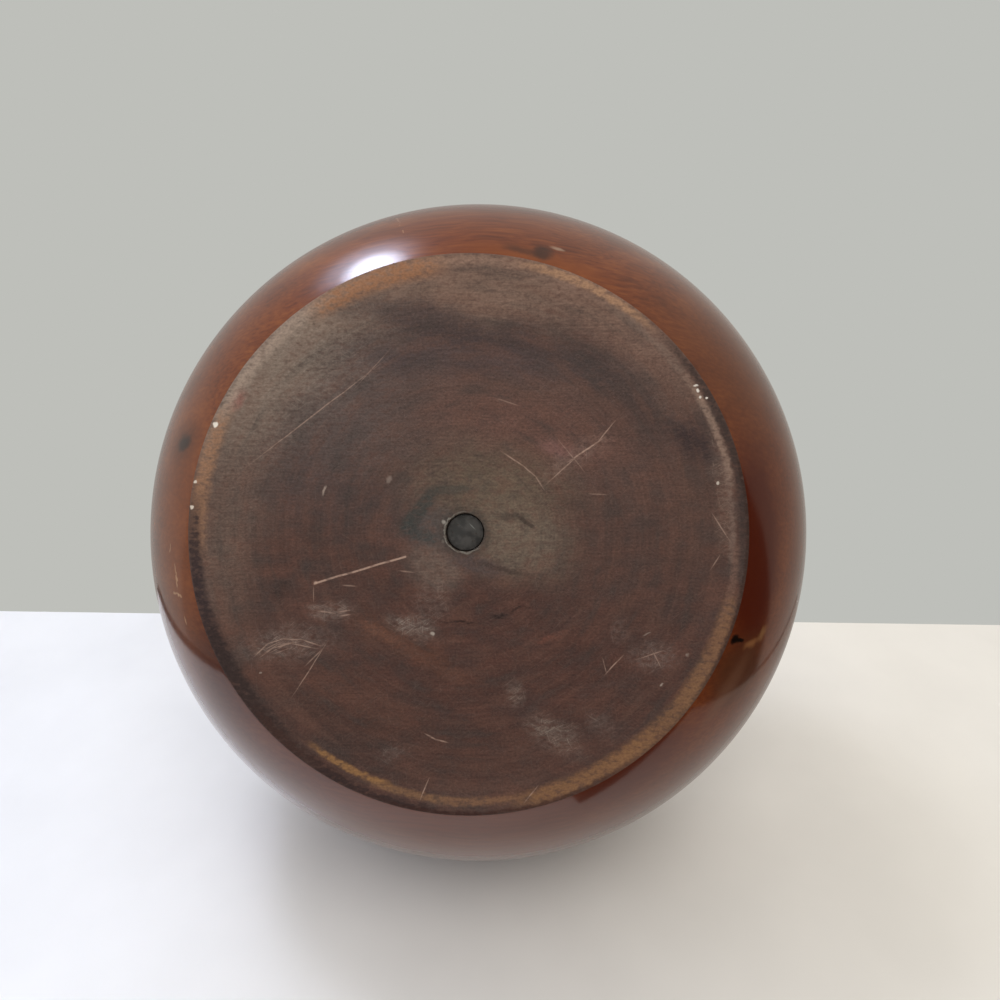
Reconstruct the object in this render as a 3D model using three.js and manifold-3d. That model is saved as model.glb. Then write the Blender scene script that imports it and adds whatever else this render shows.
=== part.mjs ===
// A turned wooden nut bowl with a centre post, which holds a lever nutcracker and six picks.
// Millimetres, +Z up. The origin is the middle of the base, on the surface that the bowl stands on.

import * as THREE from 'three';
import { mergeVertices } from 'three/addons/utils/BufferGeometryUtils.js';
import Module from 'manifold-3d';

const wasm = await Module();
wasm.setup();

// Driving sizes: the bowl
const BASE_RADIUS = 98;
const BOWL_HEIGHT = 115;
const SIDE_LEAN_AT_BASE = 33;        // degrees between the side's normal and straight down, at the base
const LOWER_SIDE_ARC = 92;           // radius of the outer arc from the base up to the belly
const UPPER_SIDE_ARC = 72;           // radius of the outer arc from the belly up to the rim
const WALL = 12;
const LIP = 9;
const FLOOR = 15;
const INNER_HEEL = 45;               // radius of the hollow where the inner wall meets the floor
const BASE_RING = 6;                 // width of the flat ring that the bowl stands on
const BASE_HOLLOW = 0.4;             // how far the base is hollowed inside that ring
const BASE_EDGE = 1;                 // radius of the rounded edge round the base

// Driving sizes: the bolt and the insert
const BOLT_HEAD_RADIUS = 6.35;
const BOLT_HEAD_RIM = 1.1;           // height of the head's straight edge
const BOLT_DOME = 1.3;               // how far the head's dome stands over that edge
const BOLT_NECK = 5.3;               // side of the square neck
const BOLT_NECK_HEIGHT = 4;
const BOLT_SHANK_RADIUS = 2.5;
const BOLT_LENGTH = 27;              // from under the head to the end of the thread
const HEAD_RECESS = 0.7;             // from the base ring's face in to the top of the dome
const INSERT_LENGTH = 14;
const INSERT_BODY_RADIUS = 3.9;
const INSERT_THREAD_DEPTH = 1;
const INSERT_THREAD_PITCH = 2.8;

// Driving sizes: the centre post
const POST_HEIGHT = 93;
const POST_FOOT_RADIUS = 25;
const POST_FOOT_HEIGHT = 7;
const POST_STEM_RADIUS = 12;
const POST_BEAD = 3;                 // radius of the bead round the stem
const POST_HEAD_RADIUS = 31;
const POST_HEAD_FLOOR = 6;           // wood left under the deepest hole in the head
const POST_HEAD_FLARE = 12;          // height of the curve from the stem out to the head
const POST_EDGE = 3;                 // radius of the rounded edges
const SLOT_DEPTH = 44;
const PICK_COUNT = 6;
const PICK_CIRCLE_RADIUS = 21.5;

// Driving sizes: the cracker
const LEVER_LENGTH = 130;            // from the rivet down to the end of the handle
const LEVER_THICKNESS = 7;
const EYE_RADIUS = 5;
const RIVET_SPACING = 12;
const RIVET_RADIUS = 2;
const RIVET_HEAD_RADIUS = 3.3;
const RIVET_HEAD_HEIGHT = 1.5;
const LINK_THICKNESS = 1.6;
const JAW_START = 9;                 // from the rivet down to the small hollow of the jaw
const SMALL_JAW_LENGTH = 18;
const SMALL_JAW_DEPTH = 4.5;
const JAW_LAND = 3;                  // flat between the two hollows
const LARGE_JAW_LENGTH = 26;
const LARGE_JAW_DEPTH = 6.5;
const JAW_TOOTH = 0.5;               // height of the teeth in the hollows
const JAW_TOOTH_PITCH = 2.4;
const JAW_THICKNESS = 7;             // metal left behind each hollow
const HANDLE_RADIUS = 4;
const HANDLE_NECK_RADIUS = 3;
const HANDLE_BALL_RADIUS = 4.2;

// Driving sizes: a pick
const PICK_SHANK_LENGTH = 42;
const PICK_SHANK_RADIUS = 1.9;
const PICK_TAPER = 24;               // length of the tapered point
const PICK_POINT_RADIUS = 0.6;
const PICK_HOOK = 0.7;               // how far the point is bent to one side
const PICK_GRIP_LENGTH = 46;
const PICK_GRIP_RADIUS = 2.8;
const PICK_COLLAR_RADIUS = 3.6;
const PICK_COLLAR_HEIGHT = 2.4;
const PICK_KNOB_RADIUS = 3.7;

// Clearances
const SEAT_GAP = 0.3;                // between pieces that rest on each other
const BORE_GAP = 0.3;                // round a piece held in wood
const RIVET_GAP = 0.15;              // round a rivet in its holes
const LEVER_GAP = 2;                 // between the closed levers at the jaws
const SLOT_GAP = 1;                  // each side of the handles in the post's slot
const PICK_GAP = 0.7;                // round a pick's shank in its hole
const PICK_HOLE_SPARE = 3;           // depth left under a pick's point
const OVERCUT = 1;                   // how far a cut runs on past the surface that it opens

// Facets round a turned piece
const BOWL_FACETS = 64;
const POST_FACETS = 36;
const SMALL_FACETS = 12;
const PICK_FACETS = 10;

// Finishes
const bareWood = new THREE.MeshStandardMaterial({ color: '#6b3a26', roughness: 0.45, metalness: 0 });
const postWood = new THREE.MeshStandardMaterial({ color: '#7a4429', roughness: 0.4, metalness: 0 });
const boltSteel = new THREE.MeshStandardMaterial({ color: '#4a4946', roughness: 0.6, metalness: 0.8 });
const brass = new THREE.MeshStandardMaterial({ color: '#b08d4a', roughness: 0.4, metalness: 1 });
const plate = new THREE.MeshStandardMaterial({ color: '#c9c8c4', roughness: 0.2, metalness: 1 });

const radians = THREE.MathUtils.degToRad;
const degrees = THREE.MathUtils.radToDeg;
const point = (x, y) => new THREE.Vector2(x, y);

// Points of an arc from one angle to another, in degrees, with both ends
function arc(centreX, centreY, radius, from, to, steps) {
  return Array.from({ length: steps + 1 }, (_, i) => {
    const angle = radians(from + ((to - from) * i) / steps);
    return point(centreX + radius * Math.cos(angle), centreY + radius * Math.sin(angle));
  });
}

// A profile of (radius, height) points turned about +Z
function turned(profile, facets) {
  return new THREE.LatheGeometry(profile, facets).rotateX(Math.PI / 2);
}

// An outline in the X-Z plane, given thickness along Y, from -thickness/2 to +thickness/2
function slab(outline, thickness) {
  const shape = new THREE.Shape(outline);
  const geometry = new THREE.ExtrudeGeometry(shape, { depth: thickness, bevelEnabled: false });
  return geometry.translate(0, 0, -thickness / 2).rotateX(Math.PI / 2);
}

// A plain round bar between two heights
function bar(radius, low, high, facets) {
  return turned([point(0, low), point(radius, low), point(radius, high), point(0, high)], facets);
}

function solidOf(geometry) {
  const bare = geometry.clone();
  bare.deleteAttribute('normal');
  bare.deleteAttribute('uv');
  const merged = mergeVertices(bare, 1e-4);
  return new wasm.Manifold(new wasm.Mesh({
    numProp: 3,
    vertProperties: new Float32Array(merged.attributes.position.array),
    triVerts: new Uint32Array(merged.index.array),
  }));
}

function geometryOf(solid) {
  const mesh = solid.getMesh();
  const geometry = new THREE.BufferGeometry();
  geometry.setAttribute('position', new THREE.BufferAttribute(mesh.vertProperties, 3));
  geometry.setIndex(new THREE.BufferAttribute(mesh.triVerts, 1));
  geometry.computeVertexNormals();
  return geometry;
}

function cut(geometry, tools) {
  return geometryOf(tools.reduce((left, tool) => left.subtract(solidOf(tool)), solidOf(geometry)));
}

function joined(geometries) {
  return geometryOf(geometries.map(solidOf).reduce((whole, next) => whole.add(next)));
}

function piece(name, geometry, material) {
  const mesh = new THREE.Mesh(geometry, material);
  mesh.name = name;
  return mesh;
}

// Heights that several pieces share
const headBase = HEAD_RECESS + BOLT_DOME + BOLT_HEAD_RIM;      // where the bolt's head meets its neck
const neckTop = headBase + BOLT_NECK_HEIGHT;
const postBottom = FLOOR + SEAT_GAP;
const postTop = postBottom + POST_HEIGHT;
const slotBottom = postTop - SLOT_DEPTH;
const pickHoleDepth = PICK_SHANK_LENGTH + PICK_HOLE_SPARE;
const postHeadHeight = Math.max(pickHoleDepth, SLOT_DEPTH) + POST_HEAD_FLOOR;
const pivotHeight = slotBottom + SEAT_GAP + LEVER_LENGTH;

// Bowl: the outer side is two arcs that meet upright at the belly
const lowerCentreRadius = BASE_RADIUS - LOWER_SIDE_ARC * Math.sin(radians(SIDE_LEAN_AT_BASE));
const bellyHeight = LOWER_SIDE_ARC * Math.cos(radians(SIDE_LEAN_AT_BASE));
const bellyRadius = lowerCentreRadius + LOWER_SIDE_ARC;
const lipRadius = LIP / 2;
const lipLean = Math.asin((BOWL_HEIGHT - bellyHeight - lipRadius) / (UPPER_SIDE_ARC - lipRadius));
const lipCentre = point(
  bellyRadius - UPPER_SIDE_ARC + (UPPER_SIDE_ARC - lipRadius) * Math.cos(lipLean),
  BOWL_HEIGHT - lipRadius,
);

function bowlOutside() {
  const lean = degrees(lipLean);
  const ringInner = BASE_RADIUS - BASE_EDGE - BASE_RING;
  return [
    point(0, BASE_HOLLOW),
    point(ringInner - BASE_RING, BASE_HOLLOW),
    point(ringInner, 0),
    point(BASE_RADIUS - BASE_EDGE, 0),
    ...arc(BASE_RADIUS - BASE_EDGE, BASE_EDGE, BASE_EDGE, -60, SIDE_LEAN_AT_BASE - 90, 1),
    ...arc(lowerCentreRadius, bellyHeight, LOWER_SIDE_ARC, SIDE_LEAN_AT_BASE - 89, 0, 9),
    ...arc(bellyRadius - UPPER_SIDE_ARC, bellyHeight, UPPER_SIDE_ARC, lean / 4, lean, 3),
    ...arc(lipCentre.x, lipCentre.y, lipRadius, lean + 30, lean + 180, 5),
  ];
}

// The inside follows the belly one wall in, narrows to the lip, and sweeps into the flat floor
function bowlInside() {
  const innerBelly = bellyRadius - WALL;
  const lipInner = point(
    lipCentre.x - lipRadius * Math.cos(lipLean),
    lipCentre.y - lipRadius * Math.sin(lipLean),
  );
  const rise = lipInner.y - bellyHeight;
  const retreat = innerBelly - lipInner.x;
  const upperArc = (retreat * retreat + rise * rise) / (2 * retreat);
  const upperEnd = degrees(Math.asin(rise / upperArc));
  const lowerArc = LOWER_SIDE_ARC - WALL;
  const heelHeight = FLOOR + INNER_HEEL;
  const heelReach = lowerArc - INNER_HEEL;
  const drop = bellyHeight - heelHeight;
  const heelRadius = lowerCentreRadius + Math.sqrt(heelReach * heelReach - drop * drop);
  const heelStart = -degrees(Math.asin(drop / heelReach));
  return [
    ...arc(innerBelly - upperArc, bellyHeight, upperArc, (upperEnd * 2) / 3, 0, 2),
    ...arc(lowerCentreRadius, bellyHeight, lowerArc, heelStart / 2, heelStart, 1),
    ...arc(heelRadius, heelHeight, INNER_HEEL, heelStart - 10, -90, 5),
    point(0, FLOOR),
  ];
}

function bowlBody() {
  const neckHole = BOLT_NECK + 2 * BORE_GAP;
  const neckCut = new THREE.BoxGeometry(neckHole, neckHole, BOLT_NECK_HEIGHT + BORE_GAP);
  neckCut.translate(0, 0, (headBase + neckTop + BORE_GAP) / 2);
  return cut(turned([...bowlOutside(), ...bowlInside()], BOWL_FACETS), [
    bar(BOLT_HEAD_RADIUS + BORE_GAP, -OVERCUT, headBase + BORE_GAP, 2 * SMALL_FACETS),
    neckCut,
    bar(BOLT_SHANK_RADIUS + BORE_GAP, headBase, FLOOR + OVERCUT, SMALL_FACETS),
  ]);
}

// Bolt: a low dome on a short straight edge, a square neck that grips the floor, and a plain shank
function carriageBolt() {
  const domeArc = (BOLT_HEAD_RADIUS ** 2 + BOLT_DOME ** 2) / (2 * BOLT_DOME);
  const domeHalf = degrees(Math.asin(BOLT_HEAD_RADIUS / domeArc));
  const head = turned([
    ...arc(0, HEAD_RECESS + domeArc, domeArc, -90, domeHalf - 90, 4),
    point(BOLT_HEAD_RADIUS, headBase),
    point(0, headBase),
  ], 2 * SMALL_FACETS);
  const root = headBase - BOLT_HEAD_RIM / 2;
  const neck = new THREE.BoxGeometry(BOLT_NECK, BOLT_NECK, neckTop - root);
  neck.translate(0, 0, (root + neckTop) / 2);
  return joined([head, neck, bar(BOLT_SHANK_RADIUS, root, headBase + BOLT_LENGTH, SMALL_FACETS)]);
}

// Insert: a tube with a coarse thread outside, drawn as rings
function threadedInsert() {
  const low = postBottom + SEAT_GAP;
  const inner = BOLT_SHANK_RADIUS + RIVET_GAP;
  const turns = Math.floor(INSERT_LENGTH / INSERT_THREAD_PITCH);
  const pitch = INSERT_LENGTH / turns;
  const threads = Array.from({ length: turns }, (_, i) => [
    point(INSERT_BODY_RADIUS, low + i * pitch),
    point(INSERT_BODY_RADIUS + INSERT_THREAD_DEPTH, low + (i + 0.5) * pitch),
  ]).flat();
  return turned([
    point(inner, low),
    ...threads,
    point(INSERT_BODY_RADIUS, low + INSERT_LENGTH),
    point(inner, low + INSERT_LENGTH),
    point(inner, low),
  ], SMALL_FACETS);
}

// Where each pick stands: evenly round the post, none of them in line with the slot
const pickPlaces = Array.from({ length: PICK_COUNT }, (_, i) => {
  const angle = (2 * Math.PI * (i + 0.5)) / PICK_COUNT;
  return { angle, x: PICK_CIRCLE_RADIUS * Math.cos(angle), y: PICK_CIRCLE_RADIUS * Math.sin(angle) };
});

// Post: a foot, a cove up to a bead on the stem, a flare out to the head, all in one turning
function centrePost() {
  const headBottom = postTop - postHeadHeight;
  const flareBottom = headBottom - POST_HEAD_FLARE;
  const footTop = postBottom + POST_FOOT_HEIGHT;
  const beadHeight = (footTop + flareBottom) / 2;
  const coveHeight = beadHeight - 2 * POST_BEAD - footTop;
  const coveReach = POST_FOOT_RADIUS - POST_EDGE - POST_STEM_RADIUS;
  const cove = Array.from({ length: 5 }, (_, i) => {
    const angle = (Math.PI / 2) * (i / 4);
    return point(
      POST_STEM_RADIUS + coveReach * (1 - Math.sin(angle)),
      footTop + coveHeight * (1 - Math.cos(angle)),
    );
  });
  const flareReach = POST_HEAD_RADIUS - POST_EDGE - POST_STEM_RADIUS;
  const flare = Array.from({ length: 5 }, (_, i) => {
    const angle = (Math.PI / 2) * (i / 4);
    return point(
      POST_STEM_RADIUS + flareReach * (1 - Math.cos(angle)),
      flareBottom + POST_HEAD_FLARE * Math.sin(angle),
    );
  });
  const profile = [
    point(0, postBottom),
    point(POST_FOOT_RADIUS, postBottom),
    ...arc(POST_FOOT_RADIUS - POST_EDGE, footTop - POST_EDGE, POST_EDGE, 0, 90, 3),
    ...cove.slice(1),
    ...arc(POST_STEM_RADIUS, beadHeight, POST_BEAD, -80, 80, 4),
    ...flare,
    ...arc(POST_HEAD_RADIUS - POST_EDGE, headBottom + POST_EDGE, POST_EDGE, -60, 0, 2),
    ...arc(POST_HEAD_RADIUS - POST_EDGE, postTop - POST_EDGE, POST_EDGE, 0, 90, 3),
    point(0, postTop),
  ];
  const slotWidth = 2 * (Math.max(HANDLE_RADIUS, HANDLE_BALL_RADIUS) + SLOT_GAP);
  const slot = new THREE.BoxGeometry(2 * (POST_HEAD_RADIUS + OVERCUT), slotWidth, SLOT_DEPTH + OVERCUT);
  slot.translate(0, 0, slotBottom + (SLOT_DEPTH + OVERCUT) / 2);
  const holeRadius = PICK_SHANK_RADIUS + PICK_GAP;
  const pickHoles = pickPlaces.map(({ x, y }) => (
    bar(holeRadius, postTop - pickHoleDepth, postTop + OVERCUT, SMALL_FACETS).translate(x, y, 0)
  ));
  const insertHole = bar(
    INSERT_BODY_RADIUS + INSERT_THREAD_DEPTH + BORE_GAP,
    postBottom - OVERCUT,
    Math.max(postBottom + INSERT_LENGTH, headBase + BOLT_LENGTH) + 2 * OVERCUT,
    SMALL_FACETS,
  );
  return cut(turned(profile, POST_FACETS), [slot, insertHole, ...pickHoles]);
}

// One hollow of the jaw, going down from its top, with a tooth at every second point
function jawHollow(edge, top, length, depth) {
  const radius = (depth * depth + (length * length) / 4) / (2 * depth);
  const half = Math.asin(length / 2 / radius);
  const steps = 2 * Math.round(length / JAW_TOOTH_PITCH);
  return Array.from({ length: steps + 1 }, (_, i) => {
    const angle = half - (2 * half * i) / steps;
    const reach = radius - (i % 2 ? JAW_TOOTH : 0);
    return point(
      edge + depth - radius + reach * Math.cos(angle),
      top - length / 2 + reach * Math.sin(angle),
    );
  });
}

// A lever with its rivet at the origin, hanging down, with its jaw towards -X
function lever() {
  const edge = LEVER_GAP / 2 - RIVET_SPACING / 2;
  const smallTop = -JAW_START;
  const largeTop = smallTop - SMALL_JAW_LENGTH - JAW_LAND;
  const jawEnd = largeTop - LARGE_JAW_LENGTH;
  const handleX = edge + HANDLE_BALL_RADIUS;
  const back = new THREE.SplineCurve([
    point(handleX + HANDLE_NECK_RADIUS, jawEnd - JAW_LAND),
    point(edge + LARGE_JAW_DEPTH + JAW_THICKNESS, largeTop - LARGE_JAW_LENGTH / 2),
    point(edge + SMALL_JAW_DEPTH + JAW_THICKNESS, smallTop - SMALL_JAW_LENGTH / 2),
    point(EYE_RADIUS, 0),
  ]).getPoints(12);
  const jaw = slab([
    ...arc(0, 0, EYE_RADIUS, 30, 180, 6),
    ...jawHollow(edge, smallTop, SMALL_JAW_LENGTH, SMALL_JAW_DEPTH),
    ...jawHollow(edge, largeTop, LARGE_JAW_LENGTH, LARGE_JAW_DEPTH),
    point(handleX - HANDLE_NECK_RADIUS, jawEnd - JAW_LAND),
    ...back,
  ], LEVER_THICKNESS);
  const end = -LEVER_LENGTH;
  const gripTop = jawEnd;
  const gripLength = gripTop - end;
  const ballCentre = end + HANDLE_BALL_RADIUS;
  const handle = turned([
    ...arc(0, ballCentre, HANDLE_BALL_RADIUS, -90, 50, 5),
    ...Array.from({ length: 6 }, (_, i) => {
      const share = 0.16 + (0.84 * i) / 5;
      const swell = Math.sin(Math.PI * share);
      const radius = HANDLE_NECK_RADIUS + (HANDLE_RADIUS - HANDLE_NECK_RADIUS) * swell;
      return point(radius, end + gripLength * share);
    }),
    point(0, gripTop),
  ], SMALL_FACETS).translate(handleX, 0, 0);
  const eyeBore = bar(RIVET_RADIUS + RIVET_GAP, -LEVER_THICKNESS, LEVER_THICKNESS, SMALL_FACETS);
  return cut(joined([jaw, handle]), [eyeBore.rotateX(Math.PI / 2)]);
}

// A link plate across both rivets, flat in the X-Z plane
function link() {
  const reach = RIVET_SPACING / 2;
  const plateShape = slab([
    ...arc(reach, 0, EYE_RADIUS, -90, 90, 8),
    ...arc(-reach, 0, EYE_RADIUS, 90, 270, 8),
  ], LINK_THICKNESS);
  const bores = [-reach, reach].map((x) => (
    bar(RIVET_RADIUS + RIVET_GAP, -LINK_THICKNESS, LINK_THICKNESS, SMALL_FACETS)
      .rotateX(Math.PI / 2).translate(x, 0, 0)
  ));
  return cut(plateShape, bores);
}

const linkOffset = LEVER_THICKNESS / 2 + SEAT_GAP + LINK_THICKNESS / 2;

// A rivet along Y, with a domed head over each link
function rivet() {
  const face = linkOffset + LINK_THICKNESS / 2 + RIVET_GAP;
  const dome = (RIVET_HEAD_RADIUS ** 2 + RIVET_HEAD_HEIGHT ** 2) / (2 * RIVET_HEAD_HEIGHT);
  const half = degrees(Math.asin(RIVET_HEAD_RADIUS / dome));
  const top = face + RIVET_HEAD_HEIGHT;
  return turned([
    ...arc(0, dome - top, dome, -90, half - 90, 3),
    point(RIVET_RADIUS, -face),
    point(RIVET_RADIUS, face),
    ...arc(0, top - dome, dome, 90 - half, 90, 3),
  ], SMALL_FACETS).rotateX(Math.PI / 2);
}

// A pick with its collar's underside at the origin and its point straight down
function pick() {
  const gripTop = PICK_COLLAR_HEIGHT + PICK_GRIP_LENGTH;
  const knobCentre = gripTop + PICK_COLLAR_HEIGHT + PICK_KNOB_RADIUS * 0.8;
  const geometry = turned([
    point(0, -PICK_SHANK_LENGTH),
    point(PICK_POINT_RADIUS, -PICK_SHANK_LENGTH),
    point((PICK_POINT_RADIUS + PICK_SHANK_RADIUS) / 2, -PICK_SHANK_LENGTH + PICK_TAPER / 2),
    point(PICK_SHANK_RADIUS, -PICK_SHANK_LENGTH + PICK_TAPER),
    point(PICK_SHANK_RADIUS, 0),
    point(PICK_COLLAR_RADIUS, 0),
    point(PICK_COLLAR_RADIUS, PICK_COLLAR_HEIGHT),
    point(PICK_GRIP_RADIUS, PICK_COLLAR_HEIGHT),
    point(PICK_GRIP_RADIUS, gripTop),
    point(PICK_COLLAR_RADIUS, gripTop),
    point(PICK_COLLAR_RADIUS, gripTop + PICK_COLLAR_HEIGHT / 2),
    ...arc(0, knobCentre, PICK_KNOB_RADIUS, -40, 90, 4),
  ], PICK_FACETS);
  const position = geometry.attributes.position;
  for (let i = 0; i < position.count; i += 1) {
    const down = Math.max(0, -position.getZ(i) - PICK_SHANK_LENGTH + PICK_TAPER) / PICK_TAPER;
    position.setX(i, position.getX(i) + PICK_HOOK * down * down);
  }
  return geometry;
}

// Assembly
const nutBowl = new THREE.Group();
nutBowl.add(
  piece('bowl_body', bowlBody(), bareWood),
  piece('carriage_bolt', carriageBolt(), boltSteel),
  piece('threaded_insert', threadedInsert(), brass),
  piece('centre_post', centrePost(), postWood),
);

const cracker = new THREE.Group();
cracker.position.set(0, 0, pivotHeight);
for (const [side, sign] of [['left', -1], ['right', 1]]) {
  const leverMesh = piece(`cracker_lever_${side}`, lever(), plate);
  leverMesh.position.x = (sign * RIVET_SPACING) / 2;
  leverMesh.rotation.z = sign < 0 ? Math.PI : 0;
  const rivetMesh = piece(`cracker_rivet_${side}`, rivet(), plate);
  rivetMesh.position.x = (sign * RIVET_SPACING) / 2;
  cracker.add(leverMesh, rivetMesh);
}
for (const [side, sign] of [['front', -1], ['back', 1]]) {
  const linkMesh = piece(`cracker_link_${side}`, link(), plate);
  linkMesh.position.y = sign * linkOffset;
  cracker.add(linkMesh);
}
nutBowl.add(cracker);

pickPlaces.forEach(({ angle, x, y }, i) => {
  const pickMesh = piece(`nut_pick_${i + 1}`, pick(), plate);
  pickMesh.position.set(x, y, postTop + SEAT_GAP);
  pickMesh.rotation.z = angle;
  nutBowl.add(pickMesh);
});

export default nutBowl;
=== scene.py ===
"""A turned wooden nut bowl with its bolt, centre post, cracker and picks, leaning on a pale table.

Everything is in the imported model's own frame: metres, +Z from the base to the rim, X along the slot.
Sizes in the classes are millimetres.
"""

import logging
import math
from collections.abc import Iterable, Sequence
from dataclasses import dataclass, field
from enum import Enum
from typing import TypeVar

import bmesh
import bpy
from mathutils import Matrix, Vector


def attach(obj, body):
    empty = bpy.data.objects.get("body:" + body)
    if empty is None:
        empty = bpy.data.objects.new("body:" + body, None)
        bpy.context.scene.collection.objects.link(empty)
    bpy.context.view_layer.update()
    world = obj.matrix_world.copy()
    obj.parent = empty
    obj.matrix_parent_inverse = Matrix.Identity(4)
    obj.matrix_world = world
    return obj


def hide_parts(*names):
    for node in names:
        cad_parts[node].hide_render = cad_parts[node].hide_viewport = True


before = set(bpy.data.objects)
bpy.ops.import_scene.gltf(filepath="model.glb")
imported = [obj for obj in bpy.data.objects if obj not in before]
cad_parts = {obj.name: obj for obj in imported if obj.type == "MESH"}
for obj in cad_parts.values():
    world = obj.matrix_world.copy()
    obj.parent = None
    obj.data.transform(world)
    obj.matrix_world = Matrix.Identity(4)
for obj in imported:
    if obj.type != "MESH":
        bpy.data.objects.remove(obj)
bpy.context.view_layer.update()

MM = 0.001
ON_AXIS = 1e-6  # a radius in millimetres below which a point is on the axis
THROUGH = 1e4  # the depth in millimetres of a mark that goes right through a piece
CLOUDY = (0.3, 0.7)  # what nearly all values of a cloudy pattern lie between
Point = tuple[float, float]
Triple = tuple[float, float, float]
Profile = list[Point]
Socket = bpy.types.NodeSocket
Tree = bpy.types.NodeTree
Mark = TypeVar("Mark")
log = logging.getLogger("nut_bowl")


# Colour and nodes


def linear(colour: str) -> tuple[float, float, float, float]:
    """Turn an sRGB hex value into linear red, green, blue and alpha.

    Args:
        colour: a value such as "#6c3411".

    Returns:
        Four linear channels, with alpha 1.
    """
    channels = (int(colour[i:i + 2], 16) / 255 for i in (1, 3, 5))
    return (*(c / 12.92 if c <= 0.04045 else ((c + 0.055) / 1.055) ** 2.4 for c in channels), 1.0)


def add(tree: Tree, kind: str, *inputs: object, out: int | str = 0,
        sockets: dict[int | str, object] | None = None,
        stops: Iterable[tuple[float, str]] = (), **settings: object) -> Socket | None:
    """Add one node with its settings and its links.

    Args:
        tree: the node tree that gets the node.
        kind: the node's type, without its ShaderNode prefix.
        inputs: sockets, numbers, vectors or hex colours for the first inputs; None leaves one alone.
        out: index or name of the output that is returned.
        sockets: further inputs by name or index.
        stops: positions and colours of a colour ramp.
        settings: properties of the node.

    Returns:
        The chosen output socket, or None for a node without outputs.
    """
    node = tree.nodes.new("ShaderNode" + kind)
    for name, value in settings.items():
        setattr(node, name, value)
    for key, value in (dict(enumerate(inputs)) | (sockets or {})).items():
        if isinstance(value, Socket):
            tree.links.new(value, node.inputs[key])
        elif value is not None:
            node.inputs[key].default_value = linear(value) if isinstance(value, str) else value
    for i, (position, colour) in enumerate(stops):
        elements = node.color_ramp.elements
        element = elements[i] if i < len(elements) else elements.new(position)
        element.position, element.color = position, linear(colour)
    return node.outputs[out] if node.outputs else None


# Patterns, all measured in millimetres on the piece


def place(tree: Tree) -> Socket:
    """Give the point on the piece, in millimetres."""
    point = add(tree, "TexCoord", out="Object")
    return add(tree, "VectorMath", point, sockets={"Scale": 1 / MM}, operation="SCALE")


def cloud(tree: Tree, where: Socket, size: Sequence[float], detail: float = 3.0) -> Socket:
    """Draw a cloudy pattern, stretched where the three sizes differ.

    Args:
        tree: the node tree.
        where: the point in millimetres.
        size: the pattern's grain along X, Y and Z, in millimetres.
        detail: how many finer octaves it has.

    Returns:
        A value from 0 to 1, around 0.5.
    """
    scaled = add(tree, "VectorMath", where, tuple(1 / s for s in size), operation="MULTIPLY")
    return add(tree, "TexNoise", sockets={"Vector": scaled, "Scale": 1.0, "Detail": detail})


def band(tree: Tree, value: Socket, low: float, high: float) -> Socket:
    """Rise smoothly from 0 at low to 1 at high, or fall where low is the larger."""
    return add(tree, "MapRange", value, low, high, 0.0, 1.0, interpolation_type="SMOOTHSTEP")


def both(tree: Tree, *masks: Socket | float) -> Socket:
    """Multiply masks together.

    Args:
        tree: the node tree.
        masks: the masks, each from 0 to 1.

    Returns:
        Their product.
    """
    product = masks[0]
    for mask in masks[1:]:
        product = add(tree, "Math", product, mask, operation="MULTIPLY")
    return product


def ragged(tree: Tree, where: Socket, size: float, reach: float) -> Socket:
    """Shift a point by a cloudy pattern, so that a mark drawn there gets a ragged edge.

    Args:
        tree: the node tree.
        where: the point in millimetres.
        size: the pattern's grain, in millimetres.
        reach: how far the point shifts at most, in millimetres.

    Returns:
        The shifted point.
    """
    scaled = add(tree, "VectorMath", where, (1 / size,) * 3, operation="MULTIPLY")
    noise = add(tree, "TexNoise", sockets={"Vector": scaled, "Scale": 1.0}, out="Color")
    drift = add(tree, "VectorMath", noise, (0.5,) * 3, operation="SUBTRACT")
    return add(tree, "VectorMath", drift, (reach * 2,) * 3, where, operation="MULTIPLY_ADD")


def patch(tree: Tree, where: Socket, centre: Sequence[float], reach: Sequence[float],
          turn: float = 0.0, soft: float = 0.5) -> Socket:
    """Mask an oval patch.

    Args:
        tree: the node tree.
        where: the point in millimetres.
        centre: the patch's middle; with two numbers it goes right through along Z.
        reach: half its length and half its width, and half its depth where the centre has three.
        turn: its turn about Z, in degrees.
        soft: how far its edge fades, as a share of its reach.

    Returns:
        1 inside and 0 outside.
    """
    middle, scale = (*centre, 0.0)[:3], tuple(1 / r for r in (*reach, THROUGH)[:3])
    if turn:
        where = add(tree, "VectorRotate", where, rotation_type="Z_AXIS",
                    sockets={"Center": middle, "Angle": -math.radians(turn)})
    local = add(tree, "VectorMath", where, scale, tuple(-m * k for m, k in zip(middle, scale)),
                operation="MULTIPLY_ADD")
    away = add(tree, "VectorMath", local, out="Value", operation="LENGTH")
    return band(tree, away, 1 + soft, 1 - soft)


def worn(tree: Tree, mask: Socket, crumbs: Socket, wear: float) -> Socket:
    """Thin a soft mask unevenly along a cloudy pattern."""
    share = add(tree, "MapRange", crumbs, 0.35, 0.65, 1 - wear, 1 + wear)
    return add(tree, "Math", mask, share, operation="MULTIPLY", use_clamp=True)


def shade(tree: Tree, colour: Socket, pattern: Socket, depth: float) -> Socket:
    """Make a colour lighter and darker by a share along a cloudy pattern."""
    factor = add(tree, "MapRange", pattern, *CLOUDY, 1 - depth, 1 + depth)
    return paint(tree, colour, 1.0, factor, mode="MULTIPLY")


def paint(tree: Tree, colour: Socket | str, mask: Socket | float, over: Socket | str,
          strength: float = 1.0, mode: str = "MIX") -> Socket:
    """Lay one colour over another through a mask."""
    factor = both(tree, mask, strength)
    return add(tree, "Mix", sockets={0: factor, 6: colour, 7: over}, out=2,
               data_type="RGBA", blend_type=mode)


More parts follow.
